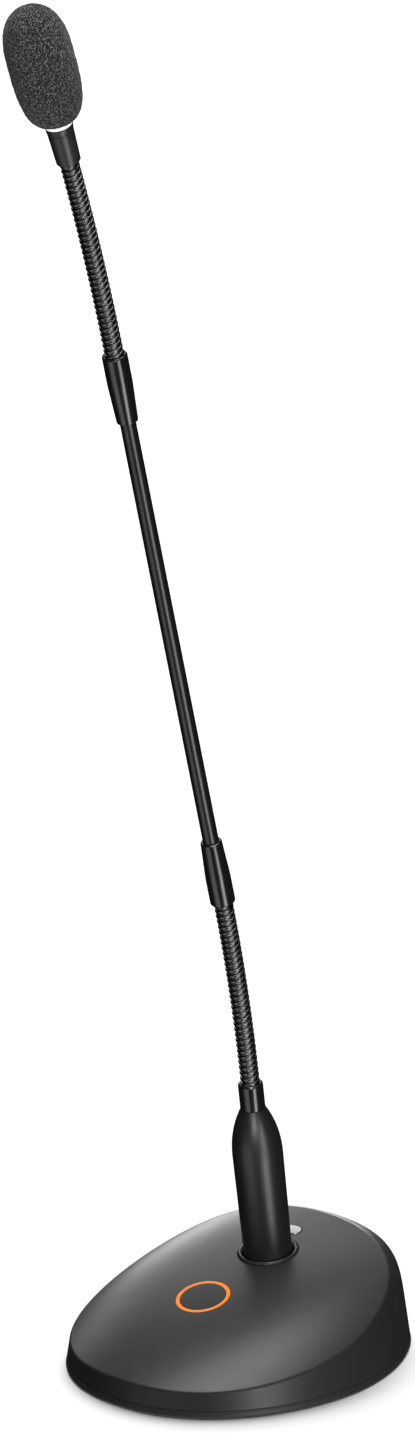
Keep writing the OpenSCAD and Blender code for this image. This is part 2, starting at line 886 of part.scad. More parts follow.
module preamp_board() {
    color([0.05, 0.3, 0.15])
        on_socket() {
            translate([-preamp_w / 2, -preamp_t / 2, preamp_low])
                cube([preamp_w, preamp_t, preamp_l]);
            for (b = preamp_blocks)
                translate([b[0], b[1], b[2]])
                    cube([b[3], b[4], b[5]]);
        }
}

module grub_screw() {
    color([0.5, 0.5, 0.52])
        on_socket()
            translate([0, barrel_bore_r + 0.05, grub_z])
                rotate([-90, 0, 0])
                    difference() {
                        cylinder(r = grub_r, h = barrel_wall - 0.3);
                        translate([0, 0, 0.5])
                            cylinder(r = 0.7, h = 2, $fn = 6);
                    }
}

module ferrule() {
    r = ferrule_d / 2;
    low = barrel_h + 0.1;
    high = barrel_h + ferrule_h;
    color([0.03, 0.03, 0.03])
        on_socket()
            rotate_extrude()
                polygon([
                    [stub_r, low], [r - 0.25, low], [r, low + 0.25],
                    [r, high - 0.6], [r - 0.6, high], [stub_r, high]
                ]);
}

// ---- Flexible sections ----
// Lean of link k of a section whose ends lean by a0 and a1
function link_lean(k, a0, a1) = a0 + (a1 - a0) * k / flex_joints;
// Pivot at the foot of link k, counted from the section's start
function pivot(k, start, pitch, a0, a1) = k == 1 ? start + pitch / 2 * lean_dir(a0) :
    pivot(k - 1, start, pitch, a0, a1) + pitch * lean_dir(link_lean(k - 1, a0, a1));
// Start of each section and of the head
seat = [0, socket_y, socket_z];
flex_low_start = seat + (barrel_h + ferrule_h) * lean_dir(socket_lean);
stem_start = pivot(flex_joints, flex_low_start, low_pitch, socket_lean, tube_lean)
    + low_pitch / 2 * lean_dir(tube_lean);
flex_up_start = stem_start + stem_l * lean_dir(tube_lean);
head_start = pivot(flex_joints, flex_up_start, up_pitch, tube_lean, head_lean)
    + up_pitch / 2 * lean_dir(head_lean);

// Ball on its neck, with the pivot at height h over a shoulder that starts lower
module ball_end(h) {
    translate([0, 0, h - link_shoulder - 0.1])
        cylinder(r = neck_r, h = link_shoulder);
    translate([0, 0, h])
        sphere(r = ball_r);
}

// Body of a link between heights z0 and z1, with chamfered rims
module link_body(z0, z1) {
    r = flex_d / 2;
    c = rim_chamfer;
    rotate_extrude()
        polygon([[0, z0], [r - c, z0], [r, z0 + c], [r, z1 - c], [r - c, z1], [0, z1]]);
}

// Link of length h between two pivots, with a cup at its foot and a ball at its top
module flex_link(h) {
    difference() {
        union() {
            link_body(-cup_lip, h - link_shoulder);
            ball_end(h);
        }
        sphere(r = cup_r);
        translate([0, 0, -over - 2])
            cylinder(r = lead_bore_r, h = h + 10);
    }
}

// First half link of a section, whose pivot is at height h, held in the piece below
module flex_root(h, inside) {
    difference() {
        union() {
            translate([0, 0, -inside])
                cylinder(r = stub_r, h = inside + 0.5);
            link_body(0, h - link_shoulder);
            ball_end(h);
        }
        translate([0, 0, -inside - over])
            cylinder(r = lead_bore_r, h = h + inside + 10);
    }
}

// Last half link of a section of half pitch h, held in the piece above
module flex_tip(h, inside) {
    difference() {
        union() {
            link_body(-cup_lip, h);
            translate([0, 0, h - 0.5])
                cylinder(r = stub_r, h = inside + 0.5);
        }
        sphere(r = cup_r);
        translate([0, 0, -over])
            cylinder(r = lead_bore_r, h = h + inside + 10);
    }
}

// Frame with its foot at a point and a forward lean
module lean_at(point, a) {
    translate(point)
        rotate([a, 0, 0])
            children();
}

module flex_lower_link(k) {
    foot = pivot(k, flex_low_start, low_pitch, socket_lean, tube_lean);
    color([0.04, 0.04, 0.04])
        lean_at(foot, link_lean(k, socket_lean, tube_lean))
            flex_link(low_pitch);
}

module flex_upper_link(k) {
    foot = pivot(k, flex_up_start, up_pitch, tube_lean, head_lean);
    color([0.04, 0.04, 0.04])
        lean_at(foot, link_lean(k, tube_lean, head_lean))
            flex_link(up_pitch);
}

module flex_lower_root() {
    color([0.04, 0.04, 0.04])
        lean_at(flex_low_start, socket_lean)
            flex_root(low_pitch / 2, stub_in);
}

module flex_lower_tip() {
    color([0.04, 0.04, 0.04])
        lean_at(stem_start, tube_lean)
            translate([0, 0, -low_pitch / 2])
                flex_tip(low_pitch / 2, tube_in - 2);
}

module flex_upper_root() {
    color([0.04, 0.04, 0.04])
        lean_at(flex_up_start, tube_lean)
            flex_root(up_pitch / 2, tube_in - 2);
}

module flex_upper_tip() {
    color([0.04, 0.04, 0.04])
        lean_at(head_start, head_lean)
            translate([0, 0, -up_pitch / 2])
                flex_tip(up_pitch / 2, 5);
}

// Collar from its wide end at height 0 to its narrow end, bored for the flex and for the tube
module collar(length) {
    r = collar_d / 2;
    tip = collar_tip_d / 2;
    rotate_extrude()
        polygon([
            [stub_r, 0], [r - 0.4, 0], [r, 0.4], [r, length * 0.42], [tip, length - 0.3],
            [tip - 0.3, length], [tube_d / 2, length], [tube_d / 2, tube_in - 2], [stub_r, tube_in - 2]
        ]);
}

module lower_collar() {
    color([0.03, 0.03, 0.03])
        lean_at(stem_start, tube_lean)
            collar(lower_collar_l);
}

module upper_collar() {
    color([0.03, 0.03, 0.03])
        lean_at(flex_up_start, tube_lean)
            mirror([0, 0, 1])
                collar(upper_collar_l);
}

module centre_tube() {
    color([0.03, 0.03, 0.03])
        lean_at(stem_start, tube_lean)
            tube(tube_d / 2, tube_d / 2 - tube_wall, tube_in - 2, stem_l - 2 * (tube_in - 2));
}

// ---- Head, in a frame that starts at the head body's foot ----
module head_body() {
    r = head_d / 2;
    color([0.03, 0.03, 0.03])
        lean_at(head_start, head_lean)
            rotate_extrude()
                polygon(concat(
                    [[stub_r, 0]], [for (p = head_outline) [r - p[0], p[1]]],
                    [[head_bore_r, head_l], [head_bore_r, head_stub_l], [stub_r, head_stub_l]]
                ));
}

module head_light_ring() {
    r = head_d / 2 - 0.05;
    color([0.95, 0.95, 0.93])
        lean_at(head_start, head_lean)
            rotate_extrude()
                polygon([
                    [head_bore_r, head_l], [r, head_l], [r, head_l + head_ring_h - 0.3],
                    [r - 0.3, head_l + head_ring_h], [head_bore_r, head_l + head_ring_h]
                ]);
}

module head_leds() {
    color([1, 0.9, 0.7])
        lean_at(head_start, head_lean)
            for (a = [0, 180])
                rotate([0, 0, a])
                    translate([1.8, -0.8, head_l + 0.2])
                        cube([1, 1.6, 1.2]);
}

module capsule_housing() {
    low = head_l + head_ring_h;
    bore = housing_r - housing_wall;
    color([0.1, 0.1, 0.1])
        lean_at(head_start, head_lean)
            difference() {
                rotate_extrude()
                    polygon([
                        [head_bore_r - 0.8, housing_foot], [head_bore_r, housing_foot], [head_bore_r, low],
                        [housing_r, low], [housing_r, housing_top], [bore, housing_top], [bore, low + 1],
                        [head_bore_r - 0.8, low]
                    ]);
                for (a = [0, 60, 120])
                    rotate([0, 0, a])
                        translate([-housing_r - over, -slot_w / 2, slot_z])
                            cube([2 * (housing_r + over), slot_w, slot_h]);
            }
}

module capsule() {
    color([0.72, 0.72, 0.74])
        lean_at(head_start, head_lean)
            translate([0, 0, capsule_z])
                cylinder(r = capsule_r, h = capsule_h);
}

module capsule_seat() {
    color([0.08, 0.08, 0.08])
        lean_at(head_start, head_lean)
            tube(capsule_seat_r, capsule_r, capsule_seat_z, capsule_seat_h);
}

module capsule_grille() {
    color([0.5, 0.5, 0.52])
        lean_at(head_start, head_lean)
            difference() {
                translate([0, 0, housing_top - grille_t - 0.2])
                    cylinder(r = housing_r - housing_wall - 0.05, h = grille_t);
                for (k = [0:5])
                    rotate([0, 0, 60 * k])
                        translate([grille_ring_r, 0, housing_top - 2])
                            cylinder(r = grille_hole_r, h = 3, $fn = 16);
                translate([0, 0, housing_top - 2])
                    cylinder(r = grille_hole_r, h = 3, $fn = 16);
            }
}

// Radius of the windscreen at the share t of its length
function foam_r(t) = let (
    above = max(0, t - foam_wide) / (1 - foam_wide),
    below = max(0, foam_wide - t) / foam_wide)
    t > foam_wide ? foam_d / 2 * sqrt(max(0, 1 - pow(above, foam_power_top)))
    : foam_foot_r + (foam_d / 2 - foam_foot_r) * pow(1 - pow(below, foam_power_low), foam_corner);
foam_steps = 28;
module windscreen() {
    low = head_l + head_ring_h + foam_gap;
    bore_top = housing_top + 0.6;
    skin = [for (i = [0:foam_steps]) let (t = (1 - cos(180 * i / foam_steps)) / 2)
        [foam_r(t), low + foam_l * t]];
    color([0.18, 0.18, 0.19])
        lean_at(head_start, head_lean)
            rotate_extrude()
                polygon(concat([[foam_bore_r, low]], skin, [[0, bore_top], [foam_bore_r, bore_top]]));
}

base_pad();
bottom_plate();
ballast_weight();
top_cover();
base_screws();
socket_shell();
socket_nut();
socket_insert();
socket_contacts();
socket_leads();
light_ring();
touch_cap();
touch_electrode();
touch_board();
ring_leds();
main_board();
board_standoffs();
board_screws();
output_shell();
output_nut();
output_insert();
output_pins();
output_leads();
release_tab();
tab_spring();
barrel();
plug_insert();
plug_pins();
preamp_board();
grub_screw();
ferrule();
flex_lower_root();
flex_lower_link(1);  // flex_lower_1
flex_lower_link(2);  // flex_lower_2
flex_lower_link(3);  // flex_lower_3
flex_lower_link(4);  // flex_lower_4
flex_lower_link(5);  // flex_lower_5
flex_lower_link(6);  // flex_lower_6
flex_lower_link(7);  // flex_lower_7
flex_lower_tip();
lower_collar();
centre_tube();
upper_collar();
flex_upper_root();
flex_upper_link(1);  // flex_upper_1
flex_upper_link(2);  // flex_upper_2
flex_upper_link(3);  // flex_upper_3
flex_upper_link(4);  // flex_upper_4
flex_upper_link(5);  // flex_upper_5
flex_upper_link(6);  // flex_upper_6
flex_upper_link(7);  // flex_upper_7
flex_upper_tip();
head_body();
head_light_ring();
head_leds();
capsule_housing();
capsule();
capsule_seat();
capsule_grille();
windscreen();
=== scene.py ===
"""Looks of the gooseneck podium microphone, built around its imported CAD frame."""
import json
import math

import bmesh
import bpy
from mathutils import Matrix, Vector, noise


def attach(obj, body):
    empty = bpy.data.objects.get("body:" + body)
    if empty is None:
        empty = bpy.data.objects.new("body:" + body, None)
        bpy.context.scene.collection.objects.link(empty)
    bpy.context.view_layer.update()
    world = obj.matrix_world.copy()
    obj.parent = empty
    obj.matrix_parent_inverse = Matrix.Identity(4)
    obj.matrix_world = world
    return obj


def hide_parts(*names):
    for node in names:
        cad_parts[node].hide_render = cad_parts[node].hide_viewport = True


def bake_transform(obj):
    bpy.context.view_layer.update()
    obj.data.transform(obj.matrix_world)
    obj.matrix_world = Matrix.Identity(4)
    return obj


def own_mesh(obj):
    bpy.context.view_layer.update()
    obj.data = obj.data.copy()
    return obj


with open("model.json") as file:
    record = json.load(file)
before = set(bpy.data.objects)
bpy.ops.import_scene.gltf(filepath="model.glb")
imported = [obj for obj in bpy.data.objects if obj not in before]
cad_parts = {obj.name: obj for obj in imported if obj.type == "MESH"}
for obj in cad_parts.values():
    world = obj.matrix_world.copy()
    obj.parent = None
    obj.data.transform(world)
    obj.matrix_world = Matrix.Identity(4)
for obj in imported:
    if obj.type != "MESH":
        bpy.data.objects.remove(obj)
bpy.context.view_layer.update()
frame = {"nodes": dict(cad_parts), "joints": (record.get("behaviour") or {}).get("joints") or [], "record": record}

# ---------------------------------------------------------------- sizes, in millimetres unless named
MM = 0.001
TURN = 2 * math.pi
ROUND = 96                      # segments round a turned piece

BASE_HALF_W = 59.05
BASE_HALF_L = 68.85
SIDE_POWER = 2 / 2.2            # superellipse powers of the base's outline
END_POWER = 2 / 1.87
DRAFT = math.tan(math.radians(7.94))
SHOULDER_IN, SHOULDER_AT, SHOULDER_LATE = 11.3, 40, 8.2
DOME_H, DOME_Y = 35.9, 16.4
DOME_RISE, DOME_FALL, DOME_STEEPEN = 8, 2.15, 1.27
DOME_CROSS, DOME_ROLL, DOME_EDGE = 3.5, 3.5, 5.85
DOME_REACH = 50                 # how far out the dome gains or loses each of these heights
PLATE_Z = 0.5
PLATE_TOP = 3.1
COVER_Z = 3.2
PAD_INSET = 3.2
WALL = 2.4
CREASE_ROUND = 0.8              # length of the rounding on each side of the crease

RING_Y = -19.8
RING_IN, RING_OUT = 8.8, 10.2
RING_SEAT = -3.1
INLAY_GAP = 0.05                # between the ring or the disc and the hole it sits in
FLANGE_R, FLANGE_GAP = 11.2, 0.4
FLANGE_BEVEL, LEAD_IN = 0.5, 0.6
SOCKET_BORE = 9.75
FLANGE_SKIN, FLANGE_DEPTH = 0.02, 2
TAB_IN, TAB_OUT, TAB_ROUND = 14.6, 20.4, 3.4
TAB_HALF = math.radians(19.5)
TAB_TURN = math.radians(107)
TAB_GAP = 0.3
TAB_TOP, TAB_T, TAB_BEVEL = -0.35, 2.4, 0.3
STEM_OUT, STEM_W, STEM_LOW = 17.4, 5, -13.5
HOOK_R, HOOK_H, HOOK_INSET = 10, 2, 0.5
JOIN_OVERLAP = 0.1
SPRING_SEAT, SPRING_AT, SPRING_GAP = -22, 15.7, 0.05
SPRING_R, SPRING_WIRE, SPRING_TURNS = 1.5, 0.3, 5
OUTPUT_Z = 21.0
OUTPUT_R = 11.0
OUTPUT_PROUD = 0.8
OUTPUT_GAP = 0.25
SCREW_X, SCREW_Y = 34, 36
SCREW_HEAD_R, SCREW_HOLE_R, SCREW_SINK = 2.8, 1.65, 2.4

BARREL_R, BARREL_BORE = 9.45, 8.1
PLUG_DEPTH = 19.0
NECK_BORE_L, BORE_TAPER = 8, 3
SHOULDER_Z, BARREL_TOP = 40.0, 59.3
SHOULDER_POWER = 2.2
FERRULE_R, FERRULE_TOP, FERRULE_GAP = 4.68, 69.7, 0.1
STUB_R = 3.5
FLEX_R = 3.62
COIL_PITCH = 2.3
COLLAR_R, COLLAR_TIP = 4.69, 3.975
LOW_COLLAR_L, UP_COLLAR_L = 26.4, 27.8
TUBE_R, TUBE_BORE, TUBE_IN = 3.0, 2.2, 10.0
HEAD_R, HEAD_L, HEAD_RING = 5.15, 15.9, 1.9
HEAD_BORE, HEAD_BORE_Z, HEAD_GROOVE = 4, 5.2, 12.8
FOAM_R, FOAM_L, FOAM_WIDE = 12.2, 47.3, 0.54
FOAM_GAP, FOAM_BORE, FOAM_FOOT = 0.15, 4.95, 5.2
FOAM_TOP_POWER, FOAM_LOW_POWER, FOAM_CORNER = 2.94, 3.1, 0.427
FOAM_COARSE, FOAM_FINE = 420, 1300      # how often the foam's surface waves, per metre
FOAM_WAVE = 0.14                # height of each of the two waves
FOAM_CELLS = 1900               # cells per metre
HOUSING_TOP, HOUSING_GAP = 40.0, 0.6

# ---------------------------------------------------------------- places, read from the frame
joints = {j["name"]: j for j in frame["joints"]}


def pivots(section):
    """Pivots of a flexible section from its foot to its top, in metres."""
    order = [f"{section}_{kind}_{i}" for i in range(1, 5) for kind in ("nod", "side")]
    return [Vector(joints[name]["pos_m"]) for name in order]


low_pivots, up_pivots = pivots("lower"), pivots("upper")
socket_axis = Vector(joints["mic_unplug"]["axis"]).normalized()
head_axis = Vector(joints["windscreen_pull"]["axis"]).normalized()
stem_axis = (up_pivots[0] - low_pivots[-1]).normalized()
low_half = (low_pivots[1] - low_pivots[0]).length / 2
up_half = (up_pivots[1] - up_pivots[0]).length / 2
low_start = low_pivots[0] - socket_axis * low_half
socket_seat = low_start - socket_axis * FERRULE_TOP * MM
stem_start = low_pivots[-1] + stem_axis * low_half
up_start = up_pivots[0] - stem_axis * up_half
head_start = up_pivots[-1] + head_axis * up_half


def axis_frame(origin, axis):
    """Matrix whose Z runs along axis, with X along the table's X."""
    z = axis.normalized()
    x = Vector((1, 0, 0))
    y = z.cross(x)
    return Matrix.Translation(origin) @ Matrix((x, y, z)).transposed().to_4x4()


socket_frame = axis_frame(socket_seat, socket_axis)
stem_frame = axis_frame(stem_start, stem_axis)
upper_frame = axis_frame(up_start, stem_axis)
head_frame = axis_frame(head_start, head_axis)


# ---------------------------------------------------------------- shape rules of the base
def spow(value, power):
    return math.copysign(abs(value) ** power, value)


def outline(t, inset):
    """Point of the base's outline at angle t, moved in by inset."""
    x = (BASE_HALF_W - inset) * spow(math.cos(t), SIDE_POWER)
    y = (BASE_HALF_L - inset) * spow(math.sin(t), END_POWER)
    return x, y


def wall_inset(z):
    """How far the outside of the wall has come in at height z."""
    return z * DRAFT + SHOULDER_IN * (max(z, 0) / SHOULDER_AT) ** SHOULDER_LATE


def wall_point(t, z, inset, drop):
    x, y = outline(t, inset + wall_inset(z + drop))
    return Vector((x, y, z))


def dome(x, y):
    """Height of the dome over a point of the table."""
    q, s = (y - DOME_Y) / DOME_REACH, x / DOME_REACH
    along = DOME_H + DOME_RISE * q - DOME_FALL * q ** 2 + DOME_STEEPEN * q ** 3
    return along - (DOME_CROSS + DOME_ROLL * q ** 2) * s ** 2 - DOME_EDGE * s ** 4


def dome_slopes(x, y):
    q, s = (y - DOME_Y) / DOME_REACH, x / DOME_REACH
    slope_x = -2 * (DOME_CROSS + DOME_ROLL * q ** 2) * s - 4 * DOME_EDGE * s ** 3
    slope_y = DOME_RISE - 2 * DOME_FALL * q + 3 * DOME_STEEPEN * q ** 2 - 2 * DOME_ROLL * q * s ** 2
    return slope_x / DOME_REACH, slope_y / DOME_REACH


def dome_normal(x, y):
    slope_x, slope_y = dome_slopes(x, y)
    return Vector((-slope_x, -slope_y, 1)).normalized()


def crease_height(t, inset, drop):
    """Height at which the wall meets the dome at angle t, found by halving the gap."""
    z = 3.0
    for _ in range(40):
        p = wall_point(t, z, inset, drop)
        z = (z + dome(p.x, p.y) - drop) / 2
    return z


ring_slope = math.atan(dome_slopes(0, RING_Y)[1])
ring_frame = axis_frame(Vector((0, RING_Y, dome(0, RING_Y))) * MM,
                        Vector((0, -math.sin(ring_slope), math.cos(ring_slope))))
output_axis = Vector((0, 1, DRAFT)).normalized()
output_face_y = BASE_HALF_L - wall_inset(OUTPUT_Z) + OUTPUT_PROUD
output_frame = axis_frame(Vector((0, output_face_y, OUTPUT_Z)) * MM, output_axis)


# ---------------------------------------------------------------- mesh helpers
def new_object(name, mesh):
    obj = bpy.data.objects.new(name, mesh)
    bpy.context.scene.collection.objects.link(obj)
    return obj


def shade(mesh, angle=32):
    """Smooth shading with sharp edges where faces meet at more than angle degrees."""
    mesh.shade_smooth()
    mesh.set_sharp_from_angle(angle=math.radians(angle))


def mesh_from(name, points, faces):
    mesh = bpy.data.meshes.new(name)
    mesh.from_pydata([tuple(p) for p in points], [], faces)
    mesh.validate()
    mesh.update()
    return mesh


def fillet(points, steps=5):
    """Outline with its corners rounded: a point is (x, y) or (x, y, radius)."""
    out = []
    n = len(points)
    for i, point in enumerate(points):
        here = Vector(point[:2])
        radius = point[2] if len(point) > 2 else 0
        if radius <= 0:
            out.append(here)
            continue
        before, after = Vector(points[i - 1][:2]), Vector(points[(i + 1) % n][:2])
        a, b = (before - here).normalized(), (after - here).normalized()
        reach = min(radius, (before - here).length * 0.49, (after - here).length * 0.49)
        for k in range(steps + 1):
            u = k / steps
            start, end = here + a * reach, here + b * reach
            out.append(start * (1 - u) ** 2 + here * 2 * u * (1 - u) + end * u * u)
    return out


def lathe(name, profile, place, segments=ROUND):
    """Turned piece from a closed outline of (radius, height) points, where radius 0 is on the axis."""
    points, faces, rings = [], [], []
    for r, z in profile:
        if r < 1e-6:
            rings.append([len(points)])
            points.append(Vector((0, 0, z)))
        else:
            rings.append(range(len(points), len(points) + segments))
            angles = [TURN * k / segments for k in range(segments)]
            points += [Vector((r * math.cos(a), r * math.sin(a), z)) for a in angles]
    for a, b in zip(rings, rings[1:] + rings[:1]):
        if len(a) == 1 and len(b) == 1:
            continue
        for k in range(segments):
            m = (k + 1) % segments
            if len(a) == 1:
                faces.append((a[0], b[m], b[k]))
            elif len(b) == 1:
                faces.append((a[k], a[m], b[0]))
            else:
                faces.append((a[k], a[m], b[m], b[k]))
    mesh = mesh_from(name, [place @ (p * MM) for p in points], faces)
    fix_normals(mesh)
    shade(mesh)
    return new_object(name, mesh)


def fix_normals(mesh):
    bm = bmesh.new()
    bm.from_mesh(mesh)
    bmesh.ops.remove_doubles(bm, verts=bm.verts, dist=1e-7)
    bmesh.ops.recalc_face_normals(bm, faces=bm.faces)
    bm.to_mesh(mesh)
    bm.free()


def grid_faces(rows, cols, offset=0, closed=True):
    """Quads between rows of points, where each row closes on itself unless closed is False."""
    last = cols if closed else cols - 1
    return [(offset + i * cols + k, offset + i * cols + (k + 1) % cols,
             offset + (i + 1) * cols + (k + 1) % cols, offset + (i + 1) * cols + k)
            for i in range(rows - 1) for k in range(last)]


def cylinder_cutter(place, r, z0, z1, segments=ROUND):
    return lathe("cutter", [(0, z0), (r, z0), (r, z1), (0, z1)], place, segments)


def cut(obj, cutters):
    """Takes the cutters out of obj and removes them."""
    for cutter in cutters:
        change = obj.modifiers.new("cut", "BOOLEAN")
        change.operation = "DIFFERENCE"
        change.solver = "EXACT"
        change.object = cutter
        apply_modifiers(obj)
        bpy.data.objects.remove(cutter)


def apply_modifiers(obj):
    depsgraph = bpy.context.evaluated_depsgraph_get()
    mesh = bpy.data.meshes.new_from_object(obj.evaluated_get(depsgraph))
    obj.modifiers.clear()
    obj.data = mesh


def tab_outline(gap, steps=10):
    """Outline of the release tab about the socket's axis, grown by gap, with rounded outer corners."""
    half = TAB_HALF + math.atan(gap / TAB_IN)
    r_in, r_out, r = TAB_IN - gap, TAB_OUT + gap, TAB_ROUND + gap
    turn = half - math.asin(r / (r_out - r))
    middle_x, middle_y = (r_out - r) * math.cos(turn), (r_out - r) * math.sin(turn)
    corner = []
    for k in range(steps + 1):
        a = turn + (half + math.pi / 2 - turn) * k / steps
        corner.append((middle_x + r * math.cos(a), middle_y + r * math.sin(a)))
    arc_angles = [turn * k / steps for k in range(1 - steps, steps)]
    inner_angles = [half * k / steps for k in range(steps, -steps - 1, -1)]
    arc = [(r_out * math.cos(a), r_out * math.sin(a)) for a in arc_angles]
    inner = [(r_in * math.cos(a), r_in * math.sin(a)) for a in inner_angles]
    flat = [(x, -y) for x, y in reversed(corner)] + arc + corner + inner
    c, s = math.cos(TAB_TURN), math.sin(TAB_TURN)
    return [(x * c - y * s, x * s + y * c) for x, y in flat]


def upright(name, ring, z0, z1, place):
    """Straight-sided solid from an outline, between two heights of a frame."""
    n = len(ring)
    points = [place @ (Vector((x, y, z)) * MM) for z in (z0, z1) for x, y in ring]
    faces = [tuple(range(n))[::-1], tuple(range(n, 2 * n))]
    faces += [(k, (k + 1) % n, n + (k + 1) % n, n + k) for k in range(n)]
    mesh = mesh_from(name, points, faces)
    fix_normals(mesh)
    return new_object(name, mesh)


def bevelled(obj, width, segments, angle):
    change = obj.modifiers.new("bevel", "BEVEL")
    change.width = width * MM
    change.segments = segments
    change.limit_method = "ANGLE"
    change.angle_limit = math.radians(angle)
    apply_modifiers(obj)
    shade(obj.data)


def piece(obj, body, material, nodes=()):
    """Says what a finished piece rides on, its material and the CAD nodes it stands for."""
    obj.data.materials.clear()
    obj.data.materials.append(material)
    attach(obj, body)
    if nodes:
        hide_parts(*nodes)
    return obj


# ---------------------------------------------------------------- materials
class Shader:
    """A Principled material with a few procedural textures."""

    def __init__(self, name, colour, roughness, metallic=0.0, specular=0.5):
        self.material = bpy.data.materials.new(name)
        self.material.use_nodes = True
        self.tree = self.material.node_tree
        self.main = self.tree.nodes["Principled BSDF"]
        self.set("Base Color", (*colour, 1))
        self.set("Roughness", roughness)
        self.set("Metallic", metallic)
        self.set("Specular IOR Level", specular)
        self.place = self.tree.nodes.new("ShaderNodeTexCoord").outputs["Object"]

    def set(self, socket, value):
        self.main.inputs[socket].default_value = value

    def node(self, kind, **inputs):
        made = self.tree.nodes.new(kind)
        for key, value in inputs.items():
            socket = made.inputs[key.replace("_", " ")]
            if isinstance(value, bpy.types.NodeSocket):
                self.tree.links.new(value, socket)
            else:
                socket.default_value = value
        return made

    def stretched(self, scale):
        return self.node("ShaderNodeMapping", Vector=self.place, Scale=scale).outputs["Vector"]

    def noise(self, scale, detail=3.0, roughness=0.55, vector=None):
        return self.node("ShaderNodeTexNoise", Vector=vector or self.place, Scale=scale, Detail=detail,
                         Roughness=roughness).outputs["Fac"]

    def cells(self, scale):
        return self.node("ShaderNodeTexVoronoi", Vector=self.place, Scale=scale).outputs["Distance"]

    def ramp(self, fac, stops):
        made = self.node("ShaderNodeValToRGB", Fac=fac)
        ramp = made.color_ramp
        while len(ramp.elements) < len(stops):
            ramp.elements.new(0.5)
        for element, (position, colour) in zip(ramp.elements, stops):
            element.position = position
            element.color = (*colour, 1)
        return made.outputs["Color"]

    def remap(self, fac, low, high):
        return self.node("ShaderNodeMapRange", Value=fac, To_Min=low, To_Max=high).outputs["Result"]

    def link(self, output, socket):
        self.tree.links.new(output, self.main.inputs[socket])

    def bump(self, layers):
        """Chains bump layers, each (height, strength, distance in metres)."""
        normal = None
        for height, strength, distance in layers:
            made = self.node("ShaderNodeBump", Height=height, Strength=strength, Distance=distance)
            if normal is not None:
                self.tree.links.new(normal, made.inputs["Normal"])
            normal = made.outputs["Normal"]
        self.link(normal, "Normal")


def shades(colour, low, high):
    """Two stops of one colour, darker and lighter, for a colour ramp."""
    return [(0.3, tuple(c * low for c in colour)), (0.7, tuple(c * high for c in colour))]


def satin_plastic(name, colour, roughness, grain=3600, depth=0.25):
    s = Shader(name, colour, roughness, specular=0.48)
    s.link(s.ramp(s.noise(28, 4), shades(colour, 0.92, 1.08)), "Base Color")
    s.link(s.remap(s.noise(160, 4), roughness - 0.04, roughness + 0.05), "Roughness")
    s.bump([(s.noise(grain, 2, 0.6), depth, 0.00003)])
    return s.material


def smooth_metal(name, colour, roughness, metallic=0.0, specular=0.5, wear=0.03):
    """Painted or plated metal with faint handling marks."""
    s = Shader(name, colour, roughness, metallic, specular)
    s.link(s.ramp(s.noise(45, 5), shades(colour, 0.9, 1.12)), "Base Color")
    s.link(s.remap(s.noise(220, 5, 0.7), roughness - wear, roughness + wear * 1.6), "Roughness")
    s.bump([(s.noise(2600, 2), 0.08, 0.00002)])
    return s.material


def brushed_metal(name, colour, roughness, direction=(1, 1, 24)):
    s = Shader(name, colour, roughness, metallic=1.0)
    grain = s.noise(900, 3, 0.6, s.stretched(direction))
    s.link(s.ramp(grain, shades(colour, 0.85, 1.08)), "Base Color")
    s.link(s.remap(grain, roughness - 0.06, roughness + 0.08), "Roughness")
    s.bump([(grain, 0.12, 0.00002)])
    return s.material


def plain_plastic(name, colour, roughness):
    s = Shader(name, colour, roughness)
    s.link(s.ramp(s.noise(120, 3), shades(colour, 0.93, 1.07)), "Base Color")
    s.bump([(s.noise(1800, 2), 0.1, 0.00002)])
    return s.material


def rubber(name, colour):
    s = Shader(name, colour, 0.75, specular=0.3)
    s.link(s.ramp(s.noise(300, 4), shades(colour, 0.85, 1.15)), "Base Color")
    s.bump([(s.noise(2200, 3), 0.25, 0.00004), (s.cells(700), 0.15, 0.00006)])
    return s.material


def lit_plastic(name, colour, strength):
    """Translucent plastic lit from inside, a little uneven."""
    s = Shader(name, tuple(c * 0.4 for c in colour), 0.45, specular=0.25)
    glow = s.ramp(s.noise(110, 2), shades(colour, 0.9, 1.06))
    s.link(glow, "Emission Color")
    s.set("Emission Strength", strength)
    s.bump([(s.noise(2500, 2), 0.08, 0.00002)])
    return s.material


def foam_material(name, pore_shade, light):
    """Open-cell foam: pores painted near black as shade, with paler struts where the cells meet."""
    s = Shader(name, pore_shade, 0.9, specular=0.15)
    cells = s.cells(FOAM_CELLS)
    fine = s.noise(FOAM_CELLS * 1.7, 3, 0.65)
    mixed = s.node("ShaderNodeMath")
    mixed.operation = "MULTIPLY"
    s.tree.links.new(cells, mixed.inputs[0])
    s.tree.links.new(fine, mixed.inputs[1])
    struts = mixed.outputs[0]
    # painted shade: the ramp's first stop paints the pores as shade, the second gives the paler struts
    s.link(s.ramp(struts, [(0.25, pore_shade), (0.38, light)]), "Base Color")
    s.set("Sheen Weight", 0.2)
    s.set("Sheen Roughness", 0.6)
    s.set("Sheen Tint", (0.5, 0.5, 0.52, 1))
    s.bump([(struts, 0.8, 0.0003)])
    return s.material


def board_material(name):
    s = Shader(name, (0.02, 0.12, 0.06), 0.4)
    tracks = s.node("ShaderNodeTexBrick", Vector=s.stretched((260, 420, 260)))
    s.link(s.ramp(tracks.outputs["Fac"], [(0.2, (0.02, 0.12, 0.06)), (0.8, (0.04, 0.2, 0.1))]), "Base Color")
    s.bump([(tracks.outputs["Fac"], 0.2, 0.00003)])
    return s.material


